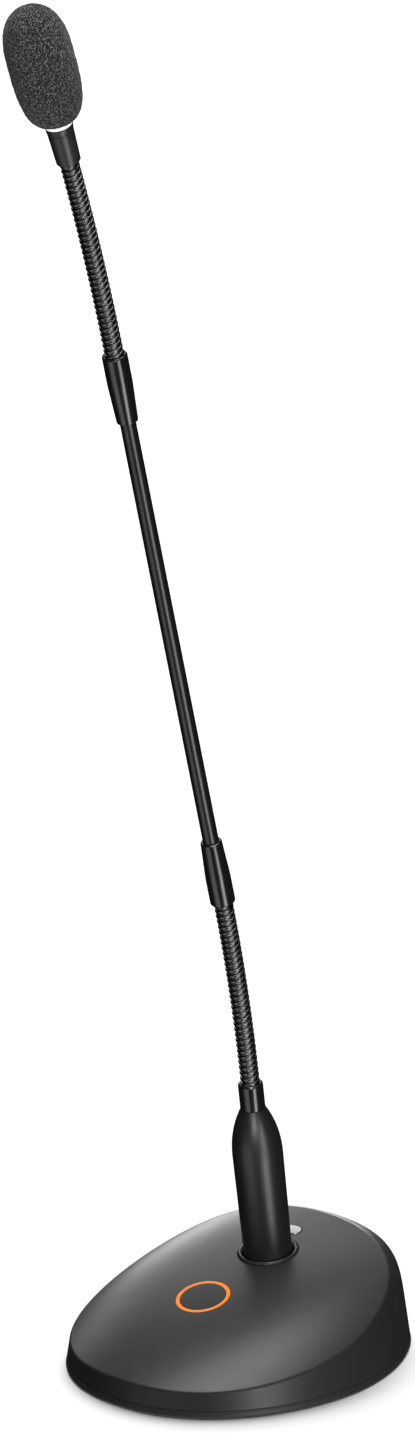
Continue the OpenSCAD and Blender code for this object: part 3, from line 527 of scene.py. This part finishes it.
MAT = {
    "cover_plastic": satin_plastic("cover_plastic", (0.028, 0.028, 0.0288), 0.39),
    "disc_plastic": satin_plastic("disc_plastic", (0.01, 0.01, 0.0105), 0.42),
    "plate_paint": satin_plastic("plate_paint", (0.028, 0.028, 0.0288), 0.45),
    "pad_rubber": rubber("pad_rubber", (0.015, 0.015, 0.015)),
    "mic_black": smooth_metal("mic_black", (0.013, 0.013, 0.0135), 0.36, specular=0.6),
    "neck_black": smooth_metal("neck_black", (0.008, 0.008, 0.0085), 0.27, specular=0.55),
    "collar_black": smooth_metal("collar_black", (0.008, 0.008, 0.0085), 0.2, specular=0.7, wear=0.015),
    "head_black": smooth_metal("head_black", (0.022, 0.022, 0.0225), 0.36, specular=0.5),
    "flex_black": smooth_metal("flex_black", (0.12, 0.12, 0.122), 0.32, 1.0, wear=0.015),
    "socket_metal": smooth_metal("socket_metal", (0.03, 0.03, 0.031), 0.26, specular=0.7),
    "tab_silver": brushed_metal("tab_silver", (0.52, 0.52, 0.53), 0.38, (24, 1, 1)),
    "screw_steel": brushed_metal("screw_steel", (0.6, 0.6, 0.62), 0.3),
    "nut_metal": brushed_metal("nut_metal", (0.62, 0.62, 0.6), 0.3),
    "ballast_steel": smooth_metal("ballast_steel", (0.18, 0.18, 0.19), 0.5, 0.8),
    "spring_steel": brushed_metal("spring_steel", (0.62, 0.62, 0.64), 0.25),
    "contact_metal": smooth_metal("contact_metal", (0.85, 0.62, 0.25), 0.25, 1.0),
    "electrode_foil": smooth_metal("electrode_foil", (0.8, 0.42, 0.22), 0.3, 1.0),
    "capsule_metal": brushed_metal("capsule_metal", (0.7, 0.7, 0.72), 0.28),
    "grille_metal": brushed_metal("grille_metal", (0.4, 0.4, 0.42), 0.35),
    "insert_plastic": plain_plastic("insert_plastic", (0.012, 0.012, 0.013), 0.4),
    "wire_red": plain_plastic("wire_red", (0.4, 0.02, 0.02), 0.45),
    "wire_blue": plain_plastic("wire_blue", (0.02, 0.06, 0.4), 0.45),
    "seat_rubber": rubber("seat_rubber", (0.02, 0.02, 0.02)),
    "board_green": board_material("board_green"),
    "led_lens": plain_plastic("led_lens", (0.9, 0.85, 0.7), 0.2),
    "ring_orange": lit_plastic("ring_orange", (0.95, 0.24, 0.012), 0.8),
    "ring_white": lit_plastic("ring_white", (0.92, 0.92, 0.9), 0.85),
    # windscreen foam: the first colour is painted shade for the pores, the second is the struts' colour
    "windscreen_foam": foam_material("windscreen_foam", (0.002, 0.002, 0.002), (0.15, 0.15, 0.152)),
}
slot_of = {part["node"]: part["material_slot"] for part in frame["record"]["subparts"]}
for node, obj in frame["nodes"].items():
    for part_slot in obj.material_slots:
        part_slot.material = MAT[slot_of[node]]


# ---------------------------------------------------------------- camera
CAMERA_TURN = math.radians(41.95)
CAMERA_RISE = math.radians(22.19)
CAMERA_DISTANCE = 5.4            # metres
SENSOR = 36.0                    # millimetres, as is the lens
LENS = 363.7
AIM_UP = math.radians(2.448)     # the view's middle lies this far above the point on the table
AIM_SIDE = math.radians(-0.24)


def add_camera():
    target = Vector((0, DOME_Y * MM, 0))
    right = Vector((math.cos(CAMERA_TURN), math.sin(CAMERA_TURN), 0))
    back = Vector((math.sin(CAMERA_TURN) * math.cos(CAMERA_RISE),
                   -math.cos(CAMERA_TURN) * math.cos(CAMERA_RISE), math.sin(CAMERA_RISE)))
    up = back.cross(right)
    look = (-back + right * math.tan(AIM_SIDE) + up * math.tan(AIM_UP)).normalized()
    side = look.cross(up).normalized()
    turn = Matrix((side, side.cross(look), -look)).transposed().to_4x4()
    data = bpy.data.cameras.new("camera")
    data.sensor_width = SENSOR
    data.lens = LENS
    data.clip_end = 50
    camera = bpy.data.objects.new("camera", data)
    camera.matrix_world = Matrix.Translation(target + back * CAMERA_DISTANCE) @ turn
    bpy.context.scene.collection.objects.link(camera)
    bpy.context.scene.camera = camera


# ---------------------------------------------------------------- light and floor
def area_light(name, place, target, size, power):
    data = bpy.data.lights.new(name, "AREA")
    data.shape = "RECTANGLE"
    data.size, data.size_y = size
    data.energy = power
    light = bpy.data.objects.new(name, data)
    light.location = place
    direction = Vector(target) - Vector(place)
    light.rotation_euler = direction.to_track_quat("-Z", "Y").to_euler()
    bpy.context.scene.collection.objects.link(light)
    return light


def around(turn, rise, distance):
    """Place seen from the base's middle: turn 0 is where the camera stands, positive to its right."""
    a = CAMERA_TURN + math.radians(turn)
    e = math.radians(rise)
    return Vector((math.sin(a) * math.cos(e), -math.cos(a) * math.cos(e), math.sin(e))) * distance


# name, turn and rise in degrees as seen from the base, distance, width and height in metres, and watts
LIGHTS = [
    ("right_strip", 37, -38, 2.2, 0.75, 1.8, 24),
    ("right_middle", 34, 2, 2.2, 0.4, 0.9, 12),
    ("left_strip", -32, -34, 2.2, 0.8, 1.8, 5),
    ("left_soft", -55, -34, 2.2, 1.0, 1.8, 4.5),
    ("front", -2, 14, 2.2, 0.8, 0.65, 18),
    ("front_high", 0, 66, 2.2, 0.4, 0.35, 6),
    ("top", 0, 88, 2.0, 1.3, 1.3, 32),
    ("back_low", -178, 8, 2.2, 1.0, 0.6, 11),
    ("back_high", 176, 36, 2.2, 1.5, 0.8, 6),
    ("back_left", -152, 24, 2.2, 0.7, 0.7, 3),
]
LIGHTS_AIM = (0, -0.03, 0.12)   # point that they face, in metres
WORLD_GLOW = 0.01
FLOOR_HALF = 14.0               # metres
FLOOR_GLOW = 0.03
FLOOR_LIGHT = ("floor_light", 176, 57, 8.8, 9.6, 9.6, 1680)


def receivers(name, objects, state):
    """Collection that says which objects a light falls on, or leaves out."""
    group = bpy.data.collections.new(name)
    for obj in objects:
        group.objects.link(obj)
    for entry in group.collection_objects:
        entry.light_linking.link_state = state
    return group


def add_lights(floor):
    others = receivers("all_but_paper", [floor], "EXCLUDE")
    for name, turn, rise, distance, width, height, power in LIGHTS:
        light = area_light(name, around(turn, rise, distance), LIGHTS_AIM, (width, height), power)
        light.light_linking.receiver_collection = others
    world = bpy.data.worlds.new("studio")
    world.use_nodes = True
    ground = world.node_tree.nodes["Background"]
    ground.inputs["Color"].default_value = (1, 1, 1, 1)
    ground.inputs["Strength"].default_value = WORLD_GLOW
    bpy.context.scene.world = world


def add_floor():
    """White paper with a light of its own. It throws no light on the object, and lets low lights through."""
    corners = [(-FLOOR_HALF, -FLOOR_HALF, 0), (FLOOR_HALF, -FLOOR_HALF, 0),
               (FLOOR_HALF, FLOOR_HALF, 0), (-FLOOR_HALF, FLOOR_HALF, 0)]
    mesh = mesh_from("floor", corners, [(0, 1, 2, 3)])
    floor = new_object("floor", mesh)
    paper = bpy.data.materials.new("paper")
    paper.use_nodes = True
    tree = paper.node_tree
    main = tree.nodes["Principled BSDF"]
    main.inputs["Base Color"].default_value = (0.85, 0.85, 0.85, 1)
    main.inputs["Roughness"].default_value = 1.0
    main.inputs["Specular IOR Level"].default_value = 0.0
    main.inputs["Emission Color"].default_value = (1, 1, 1, 1)
    main.inputs["Emission Strength"].default_value = FLOOR_GLOW
    mesh.materials.append(paper)
    floor.visible_diffuse = False
    floor.visible_glossy = False
    floor.visible_transmission = False
    floor.visible_shadow = False
    name, turn, rise, distance, width, height, power = FLOOR_LIGHT
    light = area_light(name, around(turn, rise, distance), (0, 0, 0), (width, height), power)
    light.light_linking.receiver_collection = receivers("paper_only", [floor], "INCLUDE")
    return floor


add_camera()
add_lights(add_floor())
bpy.context.scene.view_settings.view_transform = "Standard"


# ---------------------------------------------------------------- base
COVER_TURNS = 256
CREASE_ROWS = 9


def cover_rings(inset, drop, dome_rows, wall_rows):
    """Rows of points up the wall, round the crease and over the dome, for one skin of the cover."""
    rows = [[] for _ in range(wall_rows + CREASE_ROWS + dome_rows)]
    for k in range(COVER_TURNS):
        t = TURN * k / COVER_TURNS
        high = crease_height(t, inset, drop)
        edge = wall_point(t, high, inset, drop)
        wall_end = high - CREASE_ROUND
        start = wall_point(t, wall_end, inset, drop)
        share = 1 - CREASE_ROUND / math.hypot(edge.x, edge.y)
        inner = Vector((edge.x * share, edge.y * share, 0))
        inner.z = dome(inner.x, inner.y) - drop
        column = [wall_point(t, COVER_Z + (wall_end - COVER_Z) * (1 - (1 - i / wall_rows) ** 2), inset, drop)
                  for i in range(wall_rows)]
        for i in range(CREASE_ROWS):
            u = i / (CREASE_ROWS - 1)
            column.append(start * (1 - u) ** 2 + edge * 2 * u * (1 - u) + inner * u * u)
        for i in range(1, dome_rows + 1):
            f = share * (1 - i / (dome_rows + 1))
            column.append(Vector((edge.x * f, edge.y * f, dome(edge.x * f, edge.y * f) - drop)))
        for row, point in zip(rows, column):
            row.append(point)
    return rows


def add_cover():
    outer = cover_rings(inset=0, drop=0, dome_rows=44, wall_rows=24)
    inner = cover_rings(inset=WALL, drop=WALL, dome_rows=14, wall_rows=10)
    n = COVER_TURNS
    points = [p for row in outer for p in row] + [Vector((0, 0, dome(0, 0)))]
    faces = grid_faces(len(outer), n)
    pole = len(points) - 1
    last = (len(outer) - 1) * n
    faces += [(last + k, last + (k + 1) % n, pole) for k in range(n)]
    start = len(points)
    points += [p for row in inner for p in row] + [Vector((0, 0, dome(0, 0) - WALL))]
    faces += [face[::-1] for face in grid_faces(len(inner), n, start)]
    pole = len(points) - 1
    last = start + (len(inner) - 1) * n
    faces += [(last + (k + 1) % n, last + k, pole) for k in range(n)]
    faces += [(k, start + k, start + (k + 1) % n, (k + 1) % n) for k in range(n)]
    mesh = mesh_from("cover", [p * MM for p in points], faces)
    fix_normals(mesh)
    cover = new_object("cover", mesh)
    cut(cover, [
        cylinder_cutter(ring_frame, RING_OUT + INLAY_GAP, -8, 8, 128),
        cylinder_cutter(socket_frame, FLANGE_R + FLANGE_GAP, -9, 8, 128),
        upright("slot", tab_outline(TAB_GAP), -8, 4, socket_frame),
        cylinder_cutter(output_frame, OUTPUT_R + OUTPUT_GAP, -12, 8, 96),
    ])
    shade(cover.data)
    true_dome_normals(cover.data)
    piece(cover, "base", MAT["cover_plastic"], ["top_cover"])


def true_dome_normals(mesh):
    """Gives the corners that lie on the dome the dome's own normal, so that the cut holes leave no dents."""
    normals = [Vector(n.vector) for n in mesh.corner_normals]
    near, aligned = 0.03, 0.995     # millimetres, and a cosine
    for face in mesh.polygons:
        middle = face.center / MM
        if face.normal.dot(dome_normal(middle.x, middle.y)) < aligned:
            continue
        corners = [mesh.vertices[mesh.loops[i].vertex_index].co / MM for i in face.loop_indices]
        if all(abs(c.z - dome(c.x, c.y)) < near for c in corners):
            for i, c in zip(face.loop_indices, corners):
                normals[i] = dome_normal(c.x, c.y)
    mesh.normals_split_custom_set(normals)


def on_dome(place, x, y):
    """Height, in a frame of its own, at which the line through (x, y) along its Z meets the dome."""
    z = 0.0
    for _ in range(8):
        p = (place @ Vector((x * MM, y * MM, z * MM))) / MM
        z += dome(p.x, p.y) - p.z
    return z


def dome_inlay(name, place, r_in, r_out, low, rounding=0.14):
    """Disc or ring whose top follows the dome, with softened rims."""
    soft = rounding * 0.3
    radial = [(r_out, low, False), (r_out, -rounding, True), (r_out - soft, -soft, True)]
    steps = 8 if r_in else 16
    outer_edge = r_out - rounding
    inner_edge = r_in + rounding if r_in else 0
    radial += [(outer_edge + (inner_edge - outer_edge) * k / steps, 0, True) for k in range(steps + 1)]
    if r_in:
        radial += [(r_in + soft, -soft, True), (r_in, -rounding, True), (r_in, low, False)]
    segments = 128
    points, faces = [], []
    for r, z, follows in radial:
        for k in range(segments):
            a = TURN * k / segments
            x, y = r * math.cos(a), r * math.sin(a)
            points.append(place @ (Vector((x, y, z + (on_dome(place, x, y) if follows else 0))) * MM))
    rows = len(radial)
    faces = grid_faces(rows, segments)
    if r_in:
        last = (rows - 1) * segments
        faces += [(last + k, last + (k + 1) % segments, (k + 1) % segments, k) for k in range(segments)]
    else:
        faces.append(tuple(range(segments))[::-1])
    mesh = mesh_from(name, points, faces)
    fix_normals(mesh)
    shade(mesh)
    return new_object(name, mesh)


def outline_solid(name, profile, turns=COVER_TURNS):
    """Plate of the base's outline from a closed list of (inset, height) points."""
    points = []
    for inset, z in profile:
        points += [Vector((*outline(TURN * k / turns, inset), z)) * MM for k in range(turns)]
    rows = len(profile)
    faces = grid_faces(rows, turns)
    faces += [tuple(range(turns))[::-1], tuple(range((rows - 1) * turns, rows * turns))]
    mesh = mesh_from(name, points, faces)
    fix_normals(mesh)
    shade(mesh)
    return new_object(name, mesh)


SCREWS = [(x, y) for x in (-SCREW_X, SCREW_X) for y in (-SCREW_Y, SCREW_Y)]


def at_table(x, y):
    return Matrix.Translation(Vector((x, y, 0)) * MM)


def add_base_pieces():
    edge = DRAFT * PLATE_Z
    flat = edge + 6
    rim = outline_solid("bottom_rim", [
        (flat, PLATE_Z), (edge + 0.8, PLATE_Z), (edge + 0.25, PLATE_Z + 0.12), (edge, PLATE_Z + 0.6),
        (edge + 0.35, PLATE_TOP - 0.25), (edge + 0.55, PLATE_TOP), (flat, PLATE_TOP)])
    cut(rim, [cylinder_cutter(at_table(x, y), SCREW_HEAD_R + 0.2, -1, SCREW_SINK, 48) for x, y in SCREWS])
    cut(rim, [cylinder_cutter(at_table(x, y), SCREW_HOLE_R, -1, 5, 32) for x, y in SCREWS])
    shade(rim.data)
    piece(rim, "base", MAT["plate_paint"], ["bottom_plate"])
    flat = PAD_INSET + 4
    pad = outline_solid("foot_pad", [
        (flat, 0), (PAD_INSET + 0.5, 0), (PAD_INSET + 0.1, 0.12), (PAD_INSET, 0.4),
        (PAD_INSET, PLATE_Z), (flat, PLATE_Z)])
    cut(pad, [cylinder_cutter(at_table(x, y), SCREW_HEAD_R + 1, -1, 2, 48) for x, y in SCREWS])
    shade(pad.data)
    piece(pad, "base", MAT["pad_rubber"], ["base_pad"])
    ring = dome_inlay("ring_light", ring_frame, RING_IN, RING_OUT, RING_SEAT)
    piece(ring, "base", MAT["ring_orange"], ["light_ring"])
    cap = dome_inlay("touch_disc", ring_frame, 0, RING_IN - INLAY_GAP, RING_SEAT)
    piece(cap, "base", MAT["disc_plastic"], ["touch_cap"])


def add_flange():
    """Turned face of the plug-in socket, with a bevel round its rim and a lead-in round its bore."""
    rim, mouth, top = FLANGE_R + FLANGE_SKIN, SOCKET_BORE - FLANGE_SKIN, FLANGE_SKIN
    face = fillet([(mouth, -FLANGE_DEPTH), (mouth, -LEAD_IN, 0.1), (mouth + LEAD_IN + top, top, 0.06),
                   (rim - FLANGE_BEVEL, top, 0.08), (rim, -FLANGE_BEVEL, 0.08), (rim, -FLANGE_DEPTH)])
    piece(lathe("socket_flange", face, socket_frame, 128), "base", MAT["socket_metal"])


def block(name, r0, r1, half_w, z0, z1):
    """Box of the release tab, from r0 to r1 out from the socket's axis, across the tab's middle."""
    turn = Matrix.Rotation(TAB_TURN, 4, "Z")
    corners = [(r0, -half_w), (r1, -half_w), (r1, half_w), (r0, half_w)]
    ring = [(turn @ Vector((r, w, 0)))[:2] for r, w in corners]
    return upright(name, ring, z0, z1, socket_frame)


def add_tab():
    under = TAB_TOP - TAB_T
    half_w = STEM_W / 2
    plate = upright("tab_plate", tab_outline(0), under, TAB_TOP, socket_frame)
    bevelled(plate, TAB_BEVEL, 4, 60)
    stem = block("tab_stem", TAB_IN, STEM_OUT, half_w, STEM_LOW, under + JOIN_OVERLAP)
    hook = block("tab_hook", HOOK_R, TAB_IN + JOIN_OVERLAP, half_w - HOOK_INSET, STEM_LOW, STEM_LOW + HOOK_H)
    joined = join(plate, stem, hook)
    shade(joined.data)
    piece(joined, "tab", MAT["tab_silver"], ["release_tab"])


def add_spring():
    """Spring between its seat and the tab's stem, at rest length: the real one shortens as the tab is pressed,
    this mesh keeps its length.
    """
    low, high = SPRING_SEAT + SPRING_WIRE + SPRING_GAP, STEM_LOW - SPRING_WIRE - SPRING_GAP
    place = socket_frame @ Matrix.Rotation(TAB_TURN, 4, "Z") @ Matrix.Translation((SPRING_AT * MM, 0, 0))
    around_coil, sides = 24, 8
    steps = SPRING_TURNS * around_coil
    points = []
    for i in range(steps + 1):
        a = TURN * i / around_coil
        for j in range(sides):
            b = TURN * j / sides
            r = SPRING_R + SPRING_WIRE * math.cos(b)
            z = low + (high - low) * i / steps + SPRING_WIRE * math.sin(b)
            points.append(place @ (Vector((r * math.cos(a), r * math.sin(a), z)) * MM))
    faces = grid_faces(steps + 1, sides)
    faces += [tuple(range(sides))[::-1], tuple(range(steps * sides, (steps + 1) * sides))]
    mesh = mesh_from("return_spring", points, faces)
    fix_normals(mesh)
    shade(mesh)
    spring = new_object("return_spring", mesh)
    piece(spring, "base", MAT["spring_steel"], ["tab_spring"])
    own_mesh(spring)


def join(first, *rest):
    """One mesh of several separate shells."""
    bm = bmesh.new()
    bm.from_mesh(first.data)
    for other in rest:
        bm.from_mesh(other.data)
        bpy.data.objects.remove(other)
    bm.to_mesh(first.data)
    bm.free()
    return first


# ---------------------------------------------------------------- turned pieces of the microphone
def shoulder_points(steps=36):
    return [(FERRULE_R + (BARREL_R - FERRULE_R) * (1 - (k / steps) ** SHOULDER_POWER),
             SHOULDER_Z + (BARREL_TOP - SHOULDER_Z) * k / steps) for k in range(steps + 1)]


def collar_profile(length):
    """Outline of a collar from its wide end, which holds the flexible section, to its narrow end."""
    return fillet([(STUB_R, 0.3), (STUB_R + 0.1, 0.06, 0.05), (COLLAR_R - 0.45, 0, 0.2), (COLLAR_R, 0.5, 0.2),
                   (COLLAR_R, length * 0.42, 1.2), (COLLAR_TIP, length - 0.3, 0.15),
                   (COLLAR_TIP - 0.4, length, 0.12), (TUBE_R, length), (TUBE_R, TUBE_IN), (STUB_R, TUBE_IN)])


def add_turned_pieces():
    barrel = fillet([(BARREL_BORE, -PLUG_DEPTH, 0.3), (BARREL_R, -PLUG_DEPTH, 0.6)]) + shoulder_points()
    barrel += [(STUB_R, BARREL_TOP), (STUB_R, BARREL_TOP - NECK_BORE_L),
               (BARREL_BORE, SHOULDER_Z + BORE_TAPER)]
    piece(lathe("barrel_shell", barrel, socket_frame, 128), "mic", MAT["mic_black"], ["barrel"])
    low, top = BARREL_TOP + FERRULE_GAP, FERRULE_TOP
    ferrule = fillet([(STUB_R, low), (FERRULE_R, low, 0.2), (FERRULE_R, top - 0.55, 0.12),
                      (FERRULE_R - 0.6, top, 0.12), (STUB_R + 0.16, top, 0.1), (STUB_R, top - 0.3)])
    piece(lathe("ferrule_ring", ferrule, socket_frame), "mic", MAT["collar_black"], ["ferrule"])
    collar = collar_profile(LOW_COLLAR_L)
    piece(lathe("collar_low", collar, stem_frame), "stem", MAT["collar_black"], ["lower_collar"])
    flipped = [(r, -z) for r, z in collar_profile(UP_COLLAR_L)]
    high = lathe("collar_high", flipped, upper_frame)
    piece(high, "stem", MAT["collar_black"], ["upper_collar"])
    length = (up_start - stem_start).length / MM - TUBE_IN
    steps = 24
    tube = [(TUBE_R, TUBE_IN + (length - TUBE_IN) * k / steps) for k in range(steps + 1)]
    tube += [(TUBE_BORE, length), (TUBE_BORE, TUBE_IN)]
    piece(lathe("stem_tube", tube, stem_frame, 64), "stem", MAT["neck_black"], ["centre_tube"])
    r, groove = HEAD_R, HEAD_GROOVE
    head = fillet([(STUB_R, 0), (r - 0.95, 0, 0.1), (r - 0.65, 0.3, 0.2), (r - 0.25, groove, 0.1),
                   (r - 0.4, groove + 0.15), (r - 0.4, groove + 0.5), (r - 0.15, groove + 0.7, 0.1),
                   (r, HEAD_L - 0.5, 0.2), (r - 0.1, HEAD_L, 0.1), (HEAD_BORE, HEAD_L),
                   (HEAD_BORE, HEAD_BORE_Z), (STUB_R, HEAD_BORE_Z)])
    piece(lathe("head_shell", head, head_frame), "head", MAT["head_black"], ["head_body"])
    top = HEAD_L + HEAD_RING
    ring = fillet([(HEAD_BORE, HEAD_L), (r - 0.05, HEAD_L, 0.1), (r - 0.05, top - 0.3, 0.2),
                   (r - 0.35, top, 0.2), (HEAD_BORE, top)])
    piece(lathe("head_ring", ring, head_frame), "head", MAT["ring_white"], ["head_light_ring"])


# ---------------------------------------------------------------- flexible sections
COIL_SIDES = 44                 # points round the winding
COIL_STEPS = 20                 # points along each turn of the winding
CROWN = 0.62                    # share of the pitch that the broad wire takes, and the wedge wire the rest
CROWN_FALL, WEDGE_TOP, GROOVE = 0.08, 0.4, 0.66


def coil_profile(phase):
    """Depth of the winding at a share of its pitch: a broad wire with a lower wedge wire beside it."""
    u = phase % 1.0
    if u < CROWN:
        x = 2 * u / CROWN - 1
        return CROWN_FALL * x ** 2 + (GROOVE - CROWN_FALL) * x ** 8
    return WEDGE_TOP + (GROOVE - WEDGE_TOP) * abs(2 * (u - CROWN) / (1 - CROWN) - 1) ** 1.5


def coil_piece(name, start, end, axis_a, axis_b, offset, nodes):
    """Winding between two points, with the axis turning smoothly from one direction to the other."""
    length = (end - start).length
    rows = max(2, round(length / (COIL_PITCH * MM) * COIL_STEPS))
    points = []
    for i in range(rows + 1):
        u = i / rows
        h00, h10 = 2 * u ** 3 - 3 * u ** 2 + 1, u ** 3 - 2 * u ** 2 + u
        h01, h11 = -2 * u ** 3 + 3 * u ** 2, u ** 3 - u ** 2
        middle = start * h00 + axis_a * length * h10 + end * h01 + axis_b * length * h11
        axis = axis_a.lerp(axis_b, u).normalized()
        x = Vector((1, 0, 0))
        y = axis.cross(x).normalized()
        for k in range(COIL_SIDES):
            angle = TURN * k / COIL_SIDES
            along = (offset + u * length) / (COIL_PITCH * MM)
            r = (FLEX_R - coil_profile(along - k / COIL_SIDES)) * MM
            points.append(middle + (x * math.cos(angle) + y * math.sin(angle)) * r)
    faces = grid_faces(rows + 1, COIL_SIDES)
    mesh = mesh_from(name, points, faces)
    shade(mesh, 60)
    coil = new_object(name, mesh)
    coil.data.materials.append(MAT["flex_black"])
    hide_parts(*nodes)
    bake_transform(coil)
    return offset + length


def add_coils(section, points, start, end, axis_start, axis_end):
    """All windings of a section: one piece for each joint, from the middle of a link to the next."""
    links = range(1, len(points))
    axes = [axis_start] + [(q - p).normalized() for p, q in zip(points, points[1:])] + [axis_end]
    joins = [start] + [(p + q) / 2 for p, q in zip(points, points[1:])] + [end]
    nodes = [[f"flex_{section}_root"]] + [[f"flex_{section}_{k}"] for k in links]
    nodes[-1].append(f"flex_{section}_tip")
    offset = 0.0
    for k in range(len(points)):
        offset = coil_piece(f"coil_{section}_{k + 1}", joins[k], joins[k + 1], axes[k], axes[k + 1], offset,
                            nodes[k])


# ---------------------------------------------------------------- windscreen
def foam_radius(t):
    above = max(0, t - FOAM_WIDE) / (1 - FOAM_WIDE)
    below = max(0, FOAM_WIDE - t) / FOAM_WIDE
    if t > FOAM_WIDE:
        return FOAM_R * math.sqrt(max(0, 1 - above ** FOAM_TOP_POWER))
    return FOAM_FOOT + (FOAM_R - FOAM_FOOT) * (1 - below ** FOAM_LOW_POWER) ** FOAM_CORNER


def add_windscreen():
    low = HEAD_L + HEAD_RING + FOAM_GAP
    steps = 150
    skin = [(1 - math.cos(math.pi * k / steps)) / 2 for k in range(steps + 1)]
    profile = [(FOAM_BORE, low)] + [(foam_radius(t), low + FOAM_L * t) for t in skin]
    profile += [(0, HOUSING_TOP + HOUSING_GAP), (FOAM_BORE, HOUSING_TOP + HOUSING_GAP)]
    foam = lathe("foam_windscreen", profile, head_frame, 200)
    wave = FOAM_WAVE * MM
    normals = [v.normal.copy() for v in foam.data.vertices]
    inverse = head_frame.inverted()
    for v, n in zip(foam.data.vertices, normals):
        place = inverse @ v.co
        if math.hypot(place.x, place.y) < (FOAM_BORE + 0.3) * MM and place.z < (HOUSING_TOP + 1) * MM:
            continue
        v.co += n * (noise.noise(v.co * FOAM_COARSE) * wave + noise.noise(v.co * FOAM_FINE) * wave)
    shade(foam.data, 70)
    piece(foam, "windscreen", MAT["windscreen_foam"], ["windscreen"])


def shade_base_from_front():
    """Keeps the front light off the base's outside, as a card would, so that its top isn't blown out."""
    names = ["floor", "cover", "bottom_rim", "ring_light", "touch_disc"]
    shaded = receivers("all_but_base", [bpy.data.objects[name] for name in names], "EXCLUDE")
    bpy.data.objects["front"].light_linking.receiver_collection = shaded


add_cover()
add_base_pieces()
add_flange()
add_tab()
add_spring()
add_turned_pieces()
add_coils("lower", low_pivots, low_start, stem_start, socket_axis, stem_axis)
add_coils("upper", up_pivots, up_start, head_start, stem_axis, head_axis)
add_windscreen()
shade_base_from_front()
